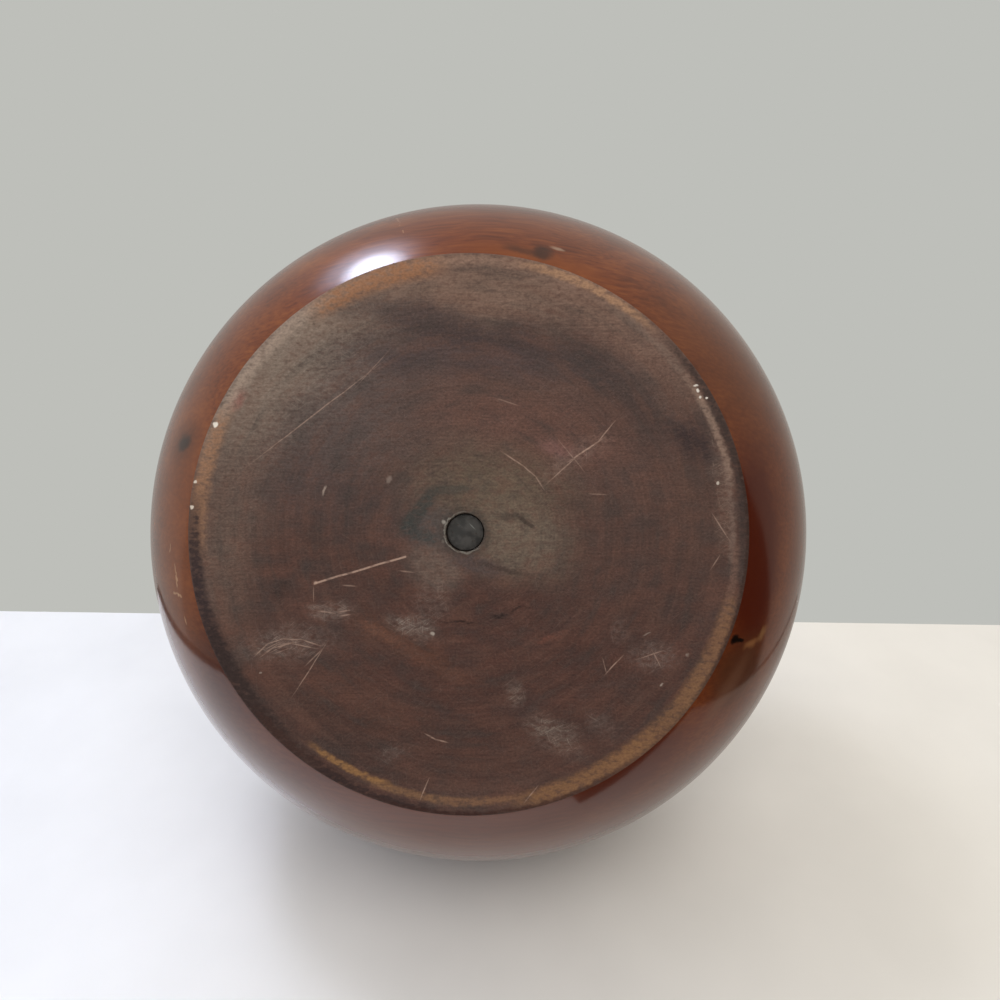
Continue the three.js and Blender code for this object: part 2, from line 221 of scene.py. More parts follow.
def relief(tree: Tree, height: Socket, depth: float) -> Socket:
    """Turn a height from 0 to 1 into a bumped normal, so many millimetres deep."""
    return add(tree, "Bump", sockets={"Strength": 1.0, "Distance": depth * MM, "Height": height})


# Meshes


def arc(centre: Point, radius: float, start: float, end: float, steps: int) -> Profile:
    """Give the points of an arc between two angles in degrees, with both ends."""
    angles = (math.radians(start + (end - start) * i / steps) for i in range(steps + 1))
    return [(centre[0] + radius * math.cos(a), centre[1] + radius * math.sin(a)) for a in angles]


def turned(profile: Profile, facets: int, closed: bool = False) -> bmesh.types.BMesh:
    """Turn a profile about +Z.

    Args:
        profile: points of radius and height in millimetres.
        facets: how many sides the turning has.
        closed: whether the profile is a loop, as a tube's is.

    Returns:
        The turned mesh, in metres.
    """
    mesh = bmesh.new()
    angles = [2 * math.pi * i / facets for i in range(facets)]
    rings = []
    for radius, height in profile:
        spokes = angles if radius > ON_AXIS else angles[:1]
        rings.append([
            mesh.verts.new((radius * MM * math.cos(a), radius * MM * math.sin(a), height * MM))
            for a in spokes
        ])
    pairs = list(zip(rings, rings[1:])) + ([(rings[-1], rings[0])] if closed else [])
    for low, high in pairs:
        for i in range(facets):
            j = (i + 1) % facets
            corners = (low[i % len(low)], low[j % len(low)], high[j % len(high)], high[i % len(high)])
            mesh.faces.new(list(dict.fromkeys(corners)))
    bmesh.ops.recalc_face_normals(mesh, faces=mesh.faces)
    return mesh


def slab(outline: Profile, thickness: float, edge: float = 0.0) -> bmesh.types.BMesh:
    """Give an outline in the X-Z plane thickness along Y, with its rims eased.

    Args:
        outline: points of the outline in millimetres.
        thickness: the whole thickness, half to each side of the plane.
        edge: width of the eased rim.

    Returns:
        The closed slab, in metres.
    """
    mesh = bmesh.new()
    half = thickness / 2 * MM
    sides = [[mesh.verts.new((x * MM, y, z * MM)) for x, z in outline] for y in (-half, half)]
    caps = [mesh.faces.new(side) for side in sides]
    count = len(outline)
    for i in range(count):
        j = (i + 1) % count
        mesh.faces.new((sides[0][i], sides[0][j], sides[1][j], sides[1][i]))
    bmesh.ops.recalc_face_normals(mesh, faces=mesh.faces)
    if edge:
        rims = [e for cap in caps for e in cap.edges]
        bmesh.ops.bevel(mesh, geom=rims, offset=edge * MM, segments=2, profile=0.5,
                        affect="EDGES", clamp_overlap=True)
    return mesh


def moved(mesh: bmesh.types.BMesh, *steps: Matrix) -> bmesh.types.BMesh:
    """Move a mesh by one matrix after another.

    Args:
        mesh: the mesh, which changes.
        steps: the matrices, in order.

    Returns:
        The same mesh.
    """
    for step in steps:
        mesh.transform(step)
    return mesh


def shift(x: float = 0.0, y: float = 0.0, z: float = 0.0) -> Matrix:
    """Make a move in millimetres."""
    return Matrix.Translation(Vector((x, y, z)) * MM)


def to_object(name: str, mesh: bmesh.types.BMesh, crease: float = 32.0) -> bpy.types.Object:
    """Make an object of a mesh, smooth but for the creases sharper than an angle.

    Args:
        name: the object's name.
        mesh: the mesh, which is freed.
        crease: the angle in degrees from which an edge stays sharp.

    Returns:
        The object, linked into the scene.
    """
    data = bpy.data.meshes.new(name)
    mesh.to_mesh(data)
    mesh.free()
    made = bpy.data.objects.new(name, data)
    bpy.context.scene.collection.objects.link(made)
    soften(made, crease)
    return made


def soften(made: bpy.types.Object, crease: float) -> None:
    """Shade an object smooth but for its creases."""
    made.data.shade_smooth()
    made.data.set_sharp_from_angle(angle=math.radians(crease))


def combine(made: bpy.types.Object, others: Iterable[bmesh.types.BMesh], operation: str,
            crease: float = 32.0) -> bpy.types.Object:
    """Cut meshes out of an object or join them on, for good.

    Args:
        made: the object that changes.
        others: closed meshes, which are used up.
        operation: DIFFERENCE to cut or UNION to join.
        crease: the angle in degrees from which an edge stays sharp.

    Returns:
        The same object.
    """
    tools = [to_object(f"{made.name}_tool_{i}", other) for i, other in enumerate(others)]
    for tool in tools:
        modifier = made.modifiers.new(tool.name, "BOOLEAN")
        modifier.operation, modifier.object, modifier.solver = operation, tool, "EXACT"
    graph = bpy.context.evaluated_depsgraph_get()
    data = bpy.data.meshes.new_from_object(made.evaluated_get(graph))
    made.modifiers.clear()
    made.data = data
    for tool in tools:
        bpy.data.objects.remove(tool)
    soften(made, crease)
    return made


# Marks


def each(kind: type[Mark], *rows: tuple) -> tuple[Mark, ...]:
    """Make one mark of each row of values, which are in the order of the kind's fields."""
    return tuple(kind(*row) for row in rows)


@dataclass(frozen=True)
class Blot:
    """An oval patch of another colour, in millimetres and degrees, as patch takes them."""

    centre: tuple[float, ...]
    reach: tuple[float, ...]
    colour: str
    strength: float
    turn: float = 0.0
    soft: float = 0.5

    def mask(self, tree: Tree, where: Socket) -> Socket:
        """Mask the blot's place."""
        return patch(tree, where, self.centre, self.reach, self.turn, self.soft)


@dataclass(frozen=True)
class Scratch:
    """A thin mark between two points, in millimetres; one with two numbers is on the base."""

    start: tuple[float, ...]
    end: tuple[float, ...]
    width: float
    strength: float

    def tapered(self, tree: Tree, where: Socket) -> Socket:
        """Mask a scratch of the base, tapered to both ends.

        Args:
            tree: the material's node tree.
            where: the point in millimetres.

        Returns:
            The scratch's strength on it and 0 off it.
        """
        run, rise = (b - a for a, b in zip(self.start, self.end))
        middle = tuple((a + b) / 2 for a, b in zip(self.start, self.end))
        reach = (math.hypot(run, rise) / 2, self.width / 2)
        mask = patch(tree, where, middle, reach, math.degrees(math.atan2(rise, run)), 0.6)
        return both(tree, mask, self.strength)

    def even(self, tree: Tree, where: Socket) -> Socket:
        """Mask a scratch that runs anywhere in space, as wide from end to end.

        Args:
            tree: the material's node tree.
            where: the point in millimetres.

        Returns:
            The scratch's strength on it and 0 off it.
        """
        start, end = (Vector((*point, 0.0)[:3]) for point in (self.start, self.end))
        run = end - start
        local = add(tree, "VectorMath", where, tuple(start), operation="SUBTRACT")
        share = add(tree, "VectorMath", local, tuple(run / run.length_squared), out="Value",
                    operation="DOT_PRODUCT")
        share = add(tree, "Math", share, 0.0, operation="ADD", use_clamp=True)
        nearest = add(tree, "VectorMath", tuple(run), sockets={"Scale": share}, operation="SCALE")
        away = add(tree, "VectorMath", local, nearest, out="Value", operation="DISTANCE")
        return both(tree, band(tree, away, self.width * 0.75, self.width * 0.25), self.strength)


@dataclass(frozen=True)
class RimMark:
    """A length of a ring round the axis, over so many degrees each side of a heading from +X."""

    heading: float
    spread: float
    radius: float
    width: float
    colour: str
    strength: float

    def mask(self, tree: Tree, way: Socket, away: Socket) -> Socket:
        """Mask the mark, faded to its ends and across its width.

        Args:
            tree: the material's node tree.
            way: the unit vector from the axis to the point.
            away: the point's distance from the axis, in millimetres.

        Returns:
            1 on the mark and 0 off it.
        """
        offset = add(tree, "Math", away, self.radius, operation="SUBTRACT")
        offset = add(tree, "Math", offset, operation="ABSOLUTE")
        heading = math.radians(self.heading)
        aim = (math.cos(heading), math.sin(heading), 0.0)
        cosine = add(tree, "VectorMath", way, aim, out="Value", operation="DOT_PRODUCT")
        low, high = (math.cos(math.radians(self.spread * share)) for share in (1.5, 0.5))
        return both(tree, band(tree, offset, self.width * 0.9, self.width * 0.1),
                    band(tree, cosine, low, high))


def blotted(tree: Tree, colour: Socket, where: Socket, blots: Iterable[Blot], *covers: Socket,
            crumbs: Socket | None = None, wear: float = 0.5) -> Socket:
    """Lay blots over a colour, one after another.

    Args:
        tree: the material's node tree.
        colour: the colour under them.
        where: the point in millimetres.
        blots: the blots.
        covers: further masks that thin them all.
        crumbs: a cloudy pattern that wears them unevenly.
        wear: how far it wears them.

    Returns:
        The colour with the blots on it.
    """
    for blot in blots:
        mask = blot.mask(tree, where)
        if crumbs is not None:
            mask = worn(tree, mask, crumbs, wear)
        colour = paint(tree, colour, both(tree, mask, *covers), blot.colour, blot.strength)
    return colour


# Finishes


class Fibre(Enum):
    """The axis that a piece's wood fibres run along."""

    ALONG_X = 0
    ALONG_Z = 2

    def stretched(self, along: float, across: float) -> Triple:
        """Give a value for each of X, Y and Z: one along the fibres and one across them."""
        return tuple(along if axis == self.value else across for axis in range(3))


class Finish:
    """A real surface. Each kind gives the sockets of its shader."""

    name: str

    def sockets(self, tree: Tree) -> dict[str, object]:
        """Give the shader's sockets.

        Args:
            tree: the material's node tree.

        Returns:
            Values and sockets by input name.
        """
        raise NotImplementedError

    def surface(self, tree: Tree) -> Socket:
        """Give the shader that the surface shows."""
        return add(tree, "BsdfPrincipled", sockets=self.sockets(tree))

    def material(self) -> bpy.types.Material:
        """Make the material, once for each name.

        Returns:
            The material, new or as it was made before.
        """
        found = bpy.data.materials.get(self.name)
        if found:
            return found
        material = bpy.data.materials.new(self.name)
        material.use_nodes = True
        tree = material.node_tree
        tree.nodes.clear()
        add(tree, "OutputMaterial", self.surface(tree))
        return material


@dataclass(frozen=True)
class BareWood(Finish):
    """Bare hardwood, sanded off the lathe and never varnished, aged by years of standing.

    Without a film it scatters light, so the base looks matt and greyed beside the side, and every
    stain, scratch and scuff shows. Pattern sizes are in millimetres.
    """

    name: str = "bare_aged_hardwood"
    grey: str = "#4c3c37"
    middle: str = "#503a33"
    red: str = "#573c33"
    warm: str = "#66483c"
    cool: str = "#3e3936"
    open_pore: str = "#271b17"
    hair: str = "#8f7b6e"
    scored: str = "#b09382"
    mottle: Triple = (13.0, 8.0, 1.0)
    crumb: Triple = (2.6, 1.5, 1.0)
    fibre: Triple = (14.0, 0.6, 1.0)
    grain: Triple = (0.9, 0.7, 1.0)
    pore: Triple = (2.4, 0.3, 1.0)
    arc: Triple = (0.30, 0.30, 4.6)
    ring_shape: Triple = (0.65, 1.0, 0.0)
    ring_spacing: float = 11.0
    lathe_line: float = 1.1
    hair_size: Point = (8.0, 0.24)
    hair_turns: tuple[float, ...] = (28.0, -38.0, 82.0, 152.0)
    wave: Point = (26.0, 1.5)
    loose: Point = (12.0, 5.0)
    wander: Point = (9.0, 0.25)
    crumbly: Point = (3.0, 1.0)
    frayed: Point = (2.2, 0.9)
    hair_bend: Point = (15.0, 3.0)
    roughness: Point = (0.55, 0.75)
    tone_and_light_zones: tuple[Blot, ...] = each(
        Blot,
        # Zones of tone, partly the wood's own and partly painted light and shade: paler over much of -Y
        # and toward the upper left, where the light falls as the bowl leans, and darker toward +Y.
        ((0, -46), (80, 36), "#5d4b44", 0.75, 0, 0.8), ((-60, -65), (42, 16), "#7a6a5d", 0.68, -45, 0.9),
        ((-68, -61), (26, 8), "#998a7b", 0.42, -47, 0.9),
        ((-44, -42), (30, 16), "#5a5250", 0.42, -45, 0.9), ((-12, 70), (44, 15), "#3a2c27", 0.2, 0, 0.9),
        ((-82, -20), (12, 40), "#76655a", 0.42, 12, 0.9), ((-84, 14), (9, 26), "#705c50", 0.2, -8, 0.9),
        ((-42, 68), (24, 12), "#3f2f2a", 0.4, 30, 0.9), ((45, -76), (18, 5), "#453733", 0.5, 30, 0.9),
        ((0, -86), (60, 12), "#856c5d", 0.7, 0, 0.9), ((60, -69), (30, 9), "#86695a", 0.55, 45, 0.9),
        ((80, -14), (9, 34), "#5c463c", 0.25, -6, 0.9), ((-14, -75), (34, 6), "#372f32", 0.65, 13, 0.8),
        ((0, -61), (50, 6), "#463b3d", 0.45, 4, 0.9), ((58, -44), (30, 8), "#3d3432", 0.55, 36, 0.9),
        ((79, -32), (8, 6), "#30282a", 0.65, 50, 0.7), ((-48, -12), (24, 11), "#453b3a", 0.35, 8, 0.9),
        ((-64, 21), (3, 2.5), "#332925", 0.45, 0, 0.8), ((26, -36), (34, 12), "#6a473c", 0.5, 12, 0.9),
        ((20, 45), (62, 32), "#4b2f28", 0.5, 0, 0.9), ((-40, 59), (30, 7), "#5f3f33", 0.35, 22, 0.9),
        ((-20, 40), (20, 4), "#64402f", 0.4, 28, 0.9), ((26, 76), (44, 7), "#573a30", 0.25, -10, 0.9),
        ((56, 8), (26, 20), "#544039", 0.4, 0, 0.9), ((9, -15), (22, 13), "#665848", 0.68, 8, 0.9),
        ((17, 3), (17, 11), "#706355", 0.7, 12, 0.9), ((-10, 12), (9, 7), "#6c5b51", 0.75, 30, 0.7),
        ((-11, -1), (9, 7), "#544e4b", 0.7, 0, 0.6))
    stains: tuple[Blot, ...] = each(
        Blot,
        ((-16.5, -7.5), (9, 2.6), "#3b3e3b", 0.75, -51, 0.5),
        ((-5, -15), (9, 1.8), "#3f3f3b", 0.55, -4, 0.7),
        ((-15.5, 0.8), (6.5, 2.2), "#3a3e3c", 0.65, 25, 0.6),
        ((0, 0), (8.6, 8.6), "#332f2c", 0.65, 0, 0.3), ((4, 11.5), (9, 2.8), "#4a4040", 0.6, 12, 0.6),
        ((13, 12.8), (8, 0.9), "#3a2c27", 0.55, 14, 0.7), ((16, -5.7), (5, 1.3), "#3d3530", 0.6, 0, 0.7),
        ((21.5, -3.6), (3.6, 0.7), "#382d28", 0.7, 36, 0.6),
        ((32, -29), (5, 2.4), "#86605a", 0.5, 20, 0.9),
        ((-81, -47), (2.0, 3.6), "#80443c", 0.75, 30, 0.8),
        ((-30, 35), (7, 1.6), "#75503f", 0.4, 30, 0.9), ((-1, 31.3), (6, 0.45), "#2d1f1b", 0.7, 0, 0.7),
        ((11.7, 29.2), (2.6, 0.8), "#261b19", 0.75, -6, 0.7),
        ((18, 26.4), (1.8, 0.5), "#2d211d", 0.6, -30, 0.7),
        ((30, 36.5), (4.5, 1.0), "#70473a", 0.5, -20, 0.8))
    scuffs: tuple[Blot, ...] = each(
        Blot,
        ((-18.8, 33.5), (7, 3.6), "#93867c", 0.68, 10, 0.8),
        ((-62, 40), (13, 5), "#877970", 0.55, -4, 0.9), ((-48, 28), (7, 2.8), "#8d8077", 0.62, 0, 0.8),
        ((31, 70.5), (8, 4), "#8d8075", 0.6, 25, 0.9), ((17.7, 56), (2.6, 3.2), "#8d8075", 0.5, 20, 0.9),
        ((65, 42), (6, 4), "#857870", 0.5, 0, 0.9), ((54, 34), (3, 3), "#7d7068", 0.4, 0, 0.9),
        ((47, 66), (5, 3), "#7d7068", 0.4, 30, 0.9), ((38, -25), (10, 3), "#8a7369", 0.45, -38, 0.9),
        ((-25, 77), (4, 2), "#7d7068", 0.4, 0, 0.9), ((89, -12), (2.5, 22), "#917c6d", 0.4, -5, 0.8),
        ((-12, 24), (5, 6), "#85746a", 0.4, 0, 0.9), ((-60, -64), (34, 17), "#9a8c7f", 0.3, -45, 0.9))
    rim: tuple[RimMark, ...] = each(
        RimMark,
        (227, 28, 95.6, 4.0, "#9c897a", 0.75), (266, 15, 96.0, 3.0, "#8f7362", 0.6),
        (250, 12, 94.4, 6.4, "#94684a", 0.85), (191, 13, 94.8, 5.0, "#8f6b52", 0.9),
        (297, 12, 96.2, 2.6, "#a07c60", 0.85), (314, 9, 93.6, 2.6, "#77665b", 0.4),
        (337, 10, 93.8, 2.2, "#8f7768", 0.7), (355, 9, 92.6, 1.8, "#7a655a", 0.45),
        (12, 8, 93.9, 2.2, "#71564a", 0.6), (26, 10, 94.8, 4.6, "#7d5b42", 0.78),
        (43, 11, 95.3, 5.0, "#7a593f", 0.78), (63, 13, 94.6, 4.8, "#825e40", 0.8),
        (88, 8, 93.4, 2.6, "#7a5942", 0.8), (103, 7, 92.9, 2.2, "#7a5a41", 0.8),
        (116, 8, 91.8, 2.0, "#8a6540", 0.88), (341, 20, 97.0, 3.2, "#3e322e", 0.85),
        (8, 20, 97.9, 1.5, "#3a2720", 0.7), (166, 17, 96.0, 4.2, "#372b2b", 0.9),
        (146, 13, 95.6, 5.2, "#372a27", 0.92), (127, 11, 96.5, 3.8, "#402b25", 0.88),
        (110, 11, 96.9, 3.0, "#372826", 0.9), (96, 9, 97.6, 1.8, "#382826", 0.85),
        (82, 22, 97.6, 1.4, "#3f241c", 0.65), (160, 110, 7.25, 0.5, "#8b867c", 0.6))
    gouge: Scratch = Scratch((-52.6, 17.8), (-21.0, 8.5), 0.65, 0.8)
    scratches: tuple[Scratch, ...] = each(
        Scratch,
        ((-53.4, 18.0), (-53.4, 24.5), 0.35, 0.35), ((-71.6, -27.7), (-34.5, -56.0), 0.4, 0.5),
        ((-38.0, -52.0), (-28.0, -63.0), 0.35, 0.3), ((29.3, -17.6), (39.8, -27.3), 0.4, 0.45),
        ((37.0, -25.3), (47.1, -32.0), 0.5, 0.75), ((46.0, -31.0), (51.9, -38.2), 0.4, 0.5),
        ((43.9, -13.6), (49.1, -13.2), 0.4, 0.45), ((33.0, -32.0), (41.0, -22.0), 0.35, 0.3),
        ((11.6, -46.7), (18.0, -44.7), 0.4, 0.35), ((14.0, -27.5), (20.4, -23.3), 0.5, 0.5),
        ((20.4, -23.3), (24.7, -19.5), 0.45, 0.5), ((24.7, -19.5), (27.4, -15.2), 0.45, 0.45),
        ((-73.9, 43.4), (-69.6, 39.2), 0.45, 0.5), ((-69.8, 39.3), (-64.0, 37.4), 0.4, 0.45),
        ((-64.4, 37.5), (-57.0, 37.8), 0.4, 0.45), ((-71.0, 42.6), (-64.6, 38.6), 0.3, 0.4),
        ((-66.5, 39.6), (-58.0, 38.4), 0.3, 0.4), ((-69.0, 42.4), (-63.0, 39.4), 0.3, 0.35),
        ((-57.4, 37.7), (-51.0, 39.8), 0.45, 0.5), ((-72.2, 44.0), (-67.6, 40.6), 0.4, 0.45),
        ((-68.0, 40.8), (-61.0, 38.9), 0.45, 0.5), ((-61.6, 39.0), (-53.0, 40.6), 0.4, 0.45),
        ((-70.0, 40.9), (-65.0, 38.3), 0.35, 0.45), ((-67.0, 42.6), (-61.5, 40.6), 0.35, 0.35),
        ((-55.8, 46.4), (-50.4, 41.2), 0.45, 0.4), ((-49.8, 40.6), (-59.6, 55.8), 0.35, 0.5),
        ((49.2, 48.6), (54.4, 43.0), 0.4, 0.6), ((47.9, 43.8), (49.2, 48.6), 0.35, 0.4),
        ((61.0, 43.4), (68.0, 41.0), 0.35, 0.45), ((65.0, 41.0), (67.6, 46.2), 0.35, 0.4),
        ((-13.6, 70.3), (-10.0, 72.2), 0.5, 0.5), ((-10.4, 72.0), (-6.3, 73.1), 0.5, 0.5),
        ((-12.7, 86.1), (-15.3, 92.4), 0.4, 0.6), ((-52.0, 27.6), (-46.7, 28.4), 0.5, 0.4),
        ((-44.5, 28.0), (-40.6, 27.4), 0.5, 0.45), ((-43.6, 29.4), (-40.2, 28.8), 0.5, 0.45),
        ((-43.0, 18.6), (-38.6, 18.9), 0.5, 0.4), ((-22.6, 13.4), (-18.0, 14.0), 0.5, 0.4),
        ((21.0, 93.0), (25.0, 88.0), 0.4, 0.45), ((86.0, -6.0), (91.0, 2.0), 0.4, 0.45),
        ((88.0, 8.0), (85.5, 12.0), 0.4, 0.4))
    chips: tuple[Blot, ...] = each(
        Blot,
        ((-88.6, -38.1), (0.9, 0.8), "#e8e0d2", 0.95, 0, 0.3),
        ((-95.7, -17.6), (0.6, 0.6), "#d8ccbc", 0.9, 0, 0.3),
        ((-96.8, -9.0), (0.6, 0.6), "#d8ccbc", 0.9, 0, 0.3),
        ((80.1, -50.8), (0.9, 0.35), "#d8d0c4", 0.85, -20, 0.4),
        ((81.0, -49.2), (0.4, 0.6), "#e3dcd0", 0.9, -30, 0.4),
        ((81.6, -47.0), (0.4, 0.45), "#d8d0c4", 0.9, 0, 0.4),
        ((83.9, -46.8), (0.5, 0.45), "#e3dcd0", 0.9, 0, 0.4),
        ((-52.7, 17.8), (0.55, 0.5), "#b09382", 0.8, 0, 0.4),
        ((87.9, -16.8), (0.5, 0.7), "#cfc4b6", 0.7, 0, 0.4),
        ((-7.6, -3.5), (0.7, 0.8), "#989188", 0.8, 20, 0.5),
        ((-8.0, 3.1), (0.4, 0.5), "#6f6860", 0.5, 0, 0.5),
        ((-26.8, -18.8), (1.0, 1.3), "#8a7a70", 0.6, 20, 0.5),
        ((-49.8, -14.7), (0.4, 1.5), "#a8978a", 0.6, 15, 0.5),
        ((-11.4, 35.4), (0.7, 0.6), "#a89d92", 0.8, 0, 0.5),
        ((-71.8, 49.4), (0.4, 0.4), "#9b8c80", 0.6, 0, 0.4),
        ((68.2, 52.4), (0.7, 0.35), "#a3968a", 0.6, -20, 0.5),
        ((63.0, 34.8), (1.2, 0.3), "#94867b", 0.5, -20, 0.5),
        ((77.0, 42.1), (0.5, 0.6), "#8c7d72", 0.6, 0, 0.6))

    def ground(self, tree: Tree, where: Socket, crumbs: Socket) -> tuple[Socket, Socket]:
        """Draw the wood: mottled, in arcs round the turning, with fibres along X and pores, under zones
        that are partly its own tone and partly painted light and shade.

        Args:
            tree: the material's node tree.
            where: the point in millimetres.
            crumbs: the cloudy pattern that wears the edges of the tone and light zones.

        Returns:
            The wood's colour and the height of its fibres.
        """
        mottle = cloud(tree, where, self.mottle, 5.0)
        colour = add(tree, "ValToRGB", mottle,
                     stops=((0.36, self.grey), (0.5, self.middle), (0.64, self.red)))
        loose = ragged(tree, where, *self.loose)
        colour = blotted(tree, colour, loose, self.tone_and_light_zones, crumbs=crumbs, wear=0.4)
        wavy = ragged(tree, where, *self.wave)
        away = add(tree, "VectorMath", wavy, self.ring_shape, operation="MULTIPLY")
        away = add(tree, "VectorMath", away, out="Value", operation="LENGTH")
        rings = cloud(tree, add(tree, "CombineXYZ", away), (self.ring_spacing,) * 3, 3.0)
        fibres = cloud(tree, wavy, self.fibre, 3.0)
        for pattern, depth in ((rings, 0.08), (fibres, 0.10), (mottle, 0.08)):
            colour = shade(tree, colour, pattern, depth)
        radius = add(tree, "VectorMath", wavy, out="Value", operation="LENGTH")
        around = add(tree, "VectorMath", wavy, operation="NORMALIZE")
        around = add(tree, "VectorMath", around,
                     add(tree, "CombineXYZ", 0.0, 0.0, radius), operation="ADD")
        arcs = cloud(tree, around, self.arc, 6.0)
        colour = paint(tree, colour, band(tree, arcs, 0.48, 0.68), self.warm, 0.30)
        colour = paint(tree, colour, band(tree, arcs, 0.48, 0.28), self.cool, 0.38)
        pores = cloud(tree, where, self.pore, 1.0)
        return paint(tree, colour, band(tree, pores, 0.66, 0.76), self.open_pore, 0.4), fibres

    def hairs(self, tree: Tree, where: Socket, turn: float) -> Socket:
        """Draw fine hair scratches that all run about one way.

        Args:
            tree: the material's node tree.
            where: the point in millimetres.
            turn: the way that they run, in degrees from X.

        Returns:
            1 on the scratches and 0 between them.
        """
        local = add(tree, "Mapping", where, vector_type="TEXTURE",
                    sockets={"Rotation": (0.0, 0.0, math.radians(turn))})
        bent = ragged(tree, local, *self.hair_bend)
        return band(tree, cloud(tree, bent, (*self.hair_size, 1.0), 2.0), 0.60, 0.72)

    def rubbed(self, tree: Tree, where: Socket, crumbs: Socket, colour: Socket) -> Socket:
        """Lay hair scratches over the wood, with scuffs where they crowd, and its worn edge.

        Args:
            tree: the material's node tree.
            where: the point in millimetres.
            crumbs: the cloudy pattern that wears the scuffs.
            colour: the wood's colour.

        Returns:
            The rubbed colour.
        """
        hair = 0.0
        for turn in self.hair_turns:
            hair = add(tree, "Math", hair, self.hairs(tree, where, turn), operation="MAXIMUM")
        colour = paint(tree, colour, hair, self.hair, 0.09)
        crowd = add(tree, "MapRange", hair, 0.0, 1.0, 0.35, 1.0)
        loose = ragged(tree, where, *self.loose)
        colour = blotted(tree, colour, loose, self.scuffs, crowd, crumbs=crumbs, wear=0.9)
        frayed = ragged(tree, where, *self.frayed)
        away = add(tree, "VectorMath", frayed, out="Value", operation="LENGTH")
        way = add(tree, "VectorMath", where, operation="NORMALIZE")
        for mark in self.rim:
            mask = worn(tree, mark.mask(tree, way, away), crumbs, 0.6)
            colour = paint(tree, colour, mask, mark.colour, mark.strength)
        return colour

    def cut(self, tree: Tree, where: Socket, crumbs: Socket, colour: Socket) -> Socket:
        """Lay the gouge and the scratches over the wood, broken here and there.

        Args:
            tree: the material's node tree.
            where: the point in millimetres.
            crumbs: the cloudy pattern that breaks them.
            colour: the wood's colour.

        Returns:
            The scratched colour.
        """
        wander = ragged(tree, where, *self.wander)
        mask = self.gouge.even(tree, wander)
        for scratch in self.scratches:
            mask = add(tree, "Math", mask, scratch.tapered(tree, wander), operation="MAXIMUM")
        broken = add(tree, "MapRange", crumbs, 0.35, 0.5, 0.4, 1.0)
        return paint(tree, colour, both(tree, mask, broken), self.scored)

    def sockets(self, tree: Tree) -> dict[str, object]:
        """Lay on the wood all that has happened to the base, in order.

        Args:
            tree: the material's node tree.

        Returns:
            Values and sockets by input name.
        """
        where = add(tree, "VectorMath", place(tree), (1.0, 1.0, 0.0), operation="MULTIPLY")
        crumbs = cloud(tree, where, self.crumb, 7.0)
        grain = cloud(tree, where, self.grain, 4.0)
        crumbly = ragged(tree, where, *self.crumbly)
        colour, fibres = self.ground(tree, where, crumbs)
        colour = blotted(tree, colour, crumbly, self.stains, crumbs=crumbs)
        colour = shade(tree, self.rubbed(tree, where, crumbs, colour), grain, 0.20)
        colour = self.cut(tree, where, crumbs, colour)
        colour = blotted(tree, colour, crumbly, self.chips)
        away = add(tree, "VectorMath", where, out="Value", operation="LENGTH")
        lines = cloud(tree, add(tree, "CombineXYZ", away), (self.lathe_line,) * 3, 1.0)
        colour = shade(tree, colour, lines, 0.06)
        height = both(tree, fibres, 0.5)
        for pattern, share in ((lines, 0.35), (grain, 0.5)):
            height = add(tree, "Math", pattern, share, height, operation="MULTIPLY_ADD")
        rough = add(tree, "MapRange", grain, *CLOUDY, *self.roughness)
        return {"Base Color": colour, "Roughness": rough,
                "Specular IOR Level": 0.22, "Normal": relief(tree, height, 0.05)}


@dataclass(frozen=True)
class VarnishedWood(Finish):
    """Hardwood stained red-brown, with clear gloss varnish brushed over the turning.

    The film gives a second, sharp reflection over the soft one of the wood, and deepens its colour.
    Pattern sizes are in millimetres, along the fibres and across them where there are two.
    """

    name: str
    dark: str = "#542409"
    middle: str = "#6b3210"
    light: str = "#824519"
    nicked: str = "#bd9670"
    fibre: Fibre = Fibre.ALONG_X
    ring_spacing: float = 12.0
    ring_squeeze: float = 0.35
    fibre_size: Point = (42.0, 1.3)
    pore_size: Point = (3.2, 0.32)
    ripple_size: Triple = (9.0, 9.0, 5.0)
    wave: Point = (30.0, 4.0)
    crumbly: Point = (4.0, 1.6)
    marks_and_painted_light: tuple[Blot, ...] = ()
    nicks: tuple[Scratch, ...] = ()
    roughness: float = 0.34
    film: float = 1.0
    film_roughness: float = 0.11

    def sockets(self, tree: Tree) -> dict[str, object]:
        """Draw rings, fibres, pores and marks under a faintly rippled film; on the bowl, some marks are
        painted shade and painted reflection.

        Args:
            tree: the material's node tree.

        Returns:
            Values and sockets by input name.
        """
        where = place(tree)
        wavy = ragged(tree, where, *self.wave)
        fibres = cloud(tree, wavy, self.fibre.stretched(*self.fibre_size), 4.0)
        squeeze = self.fibre.stretched(self.ring_squeeze, 1.0)
        grown = add(tree, "VectorMath", wavy, squeeze, operation="MULTIPLY")
        rings = cloud(tree, grown, (self.ring_spacing,) * 3, 2.0)
        tone = add(tree, "Math", rings, 0.45, both(tree, fibres, 0.55), operation="MULTIPLY_ADD")
        colour = add(tree, "ValToRGB", tone,
                     stops=((0.34, self.dark), (0.50, self.middle), (0.69, self.light)))
        pores = cloud(tree, wavy, self.fibre.stretched(*self.pore_size), 1.0)
        colour = paint(tree, colour, band(tree, pores, 0.62, 0.74), self.dark, 0.45)
        crumbly = ragged(tree, where, *self.crumbly)
        colour = blotted(tree, colour, crumbly, self.marks_and_painted_light)
        for nick in self.nicks:
            colour = paint(tree, colour, nick.even(tree, crumbly), self.nicked)
        ripple = cloud(tree, where, self.ripple_size, 2.0)
        height = add(tree, "Math", fibres, 0.25, ripple, operation="MULTIPLY_ADD")
        return {
            "Base Color": colour,
            "Roughness": self.roughness,
            "Specular IOR Level": 0.12,
            "Coat Weight": self.film,
            "Coat Roughness": self.film_roughness,
            "Coat IOR": 1.5,
            "Normal": relief(tree, height, 0.03),
            "Coat Normal": relief(tree, ripple, 0.02),
        }


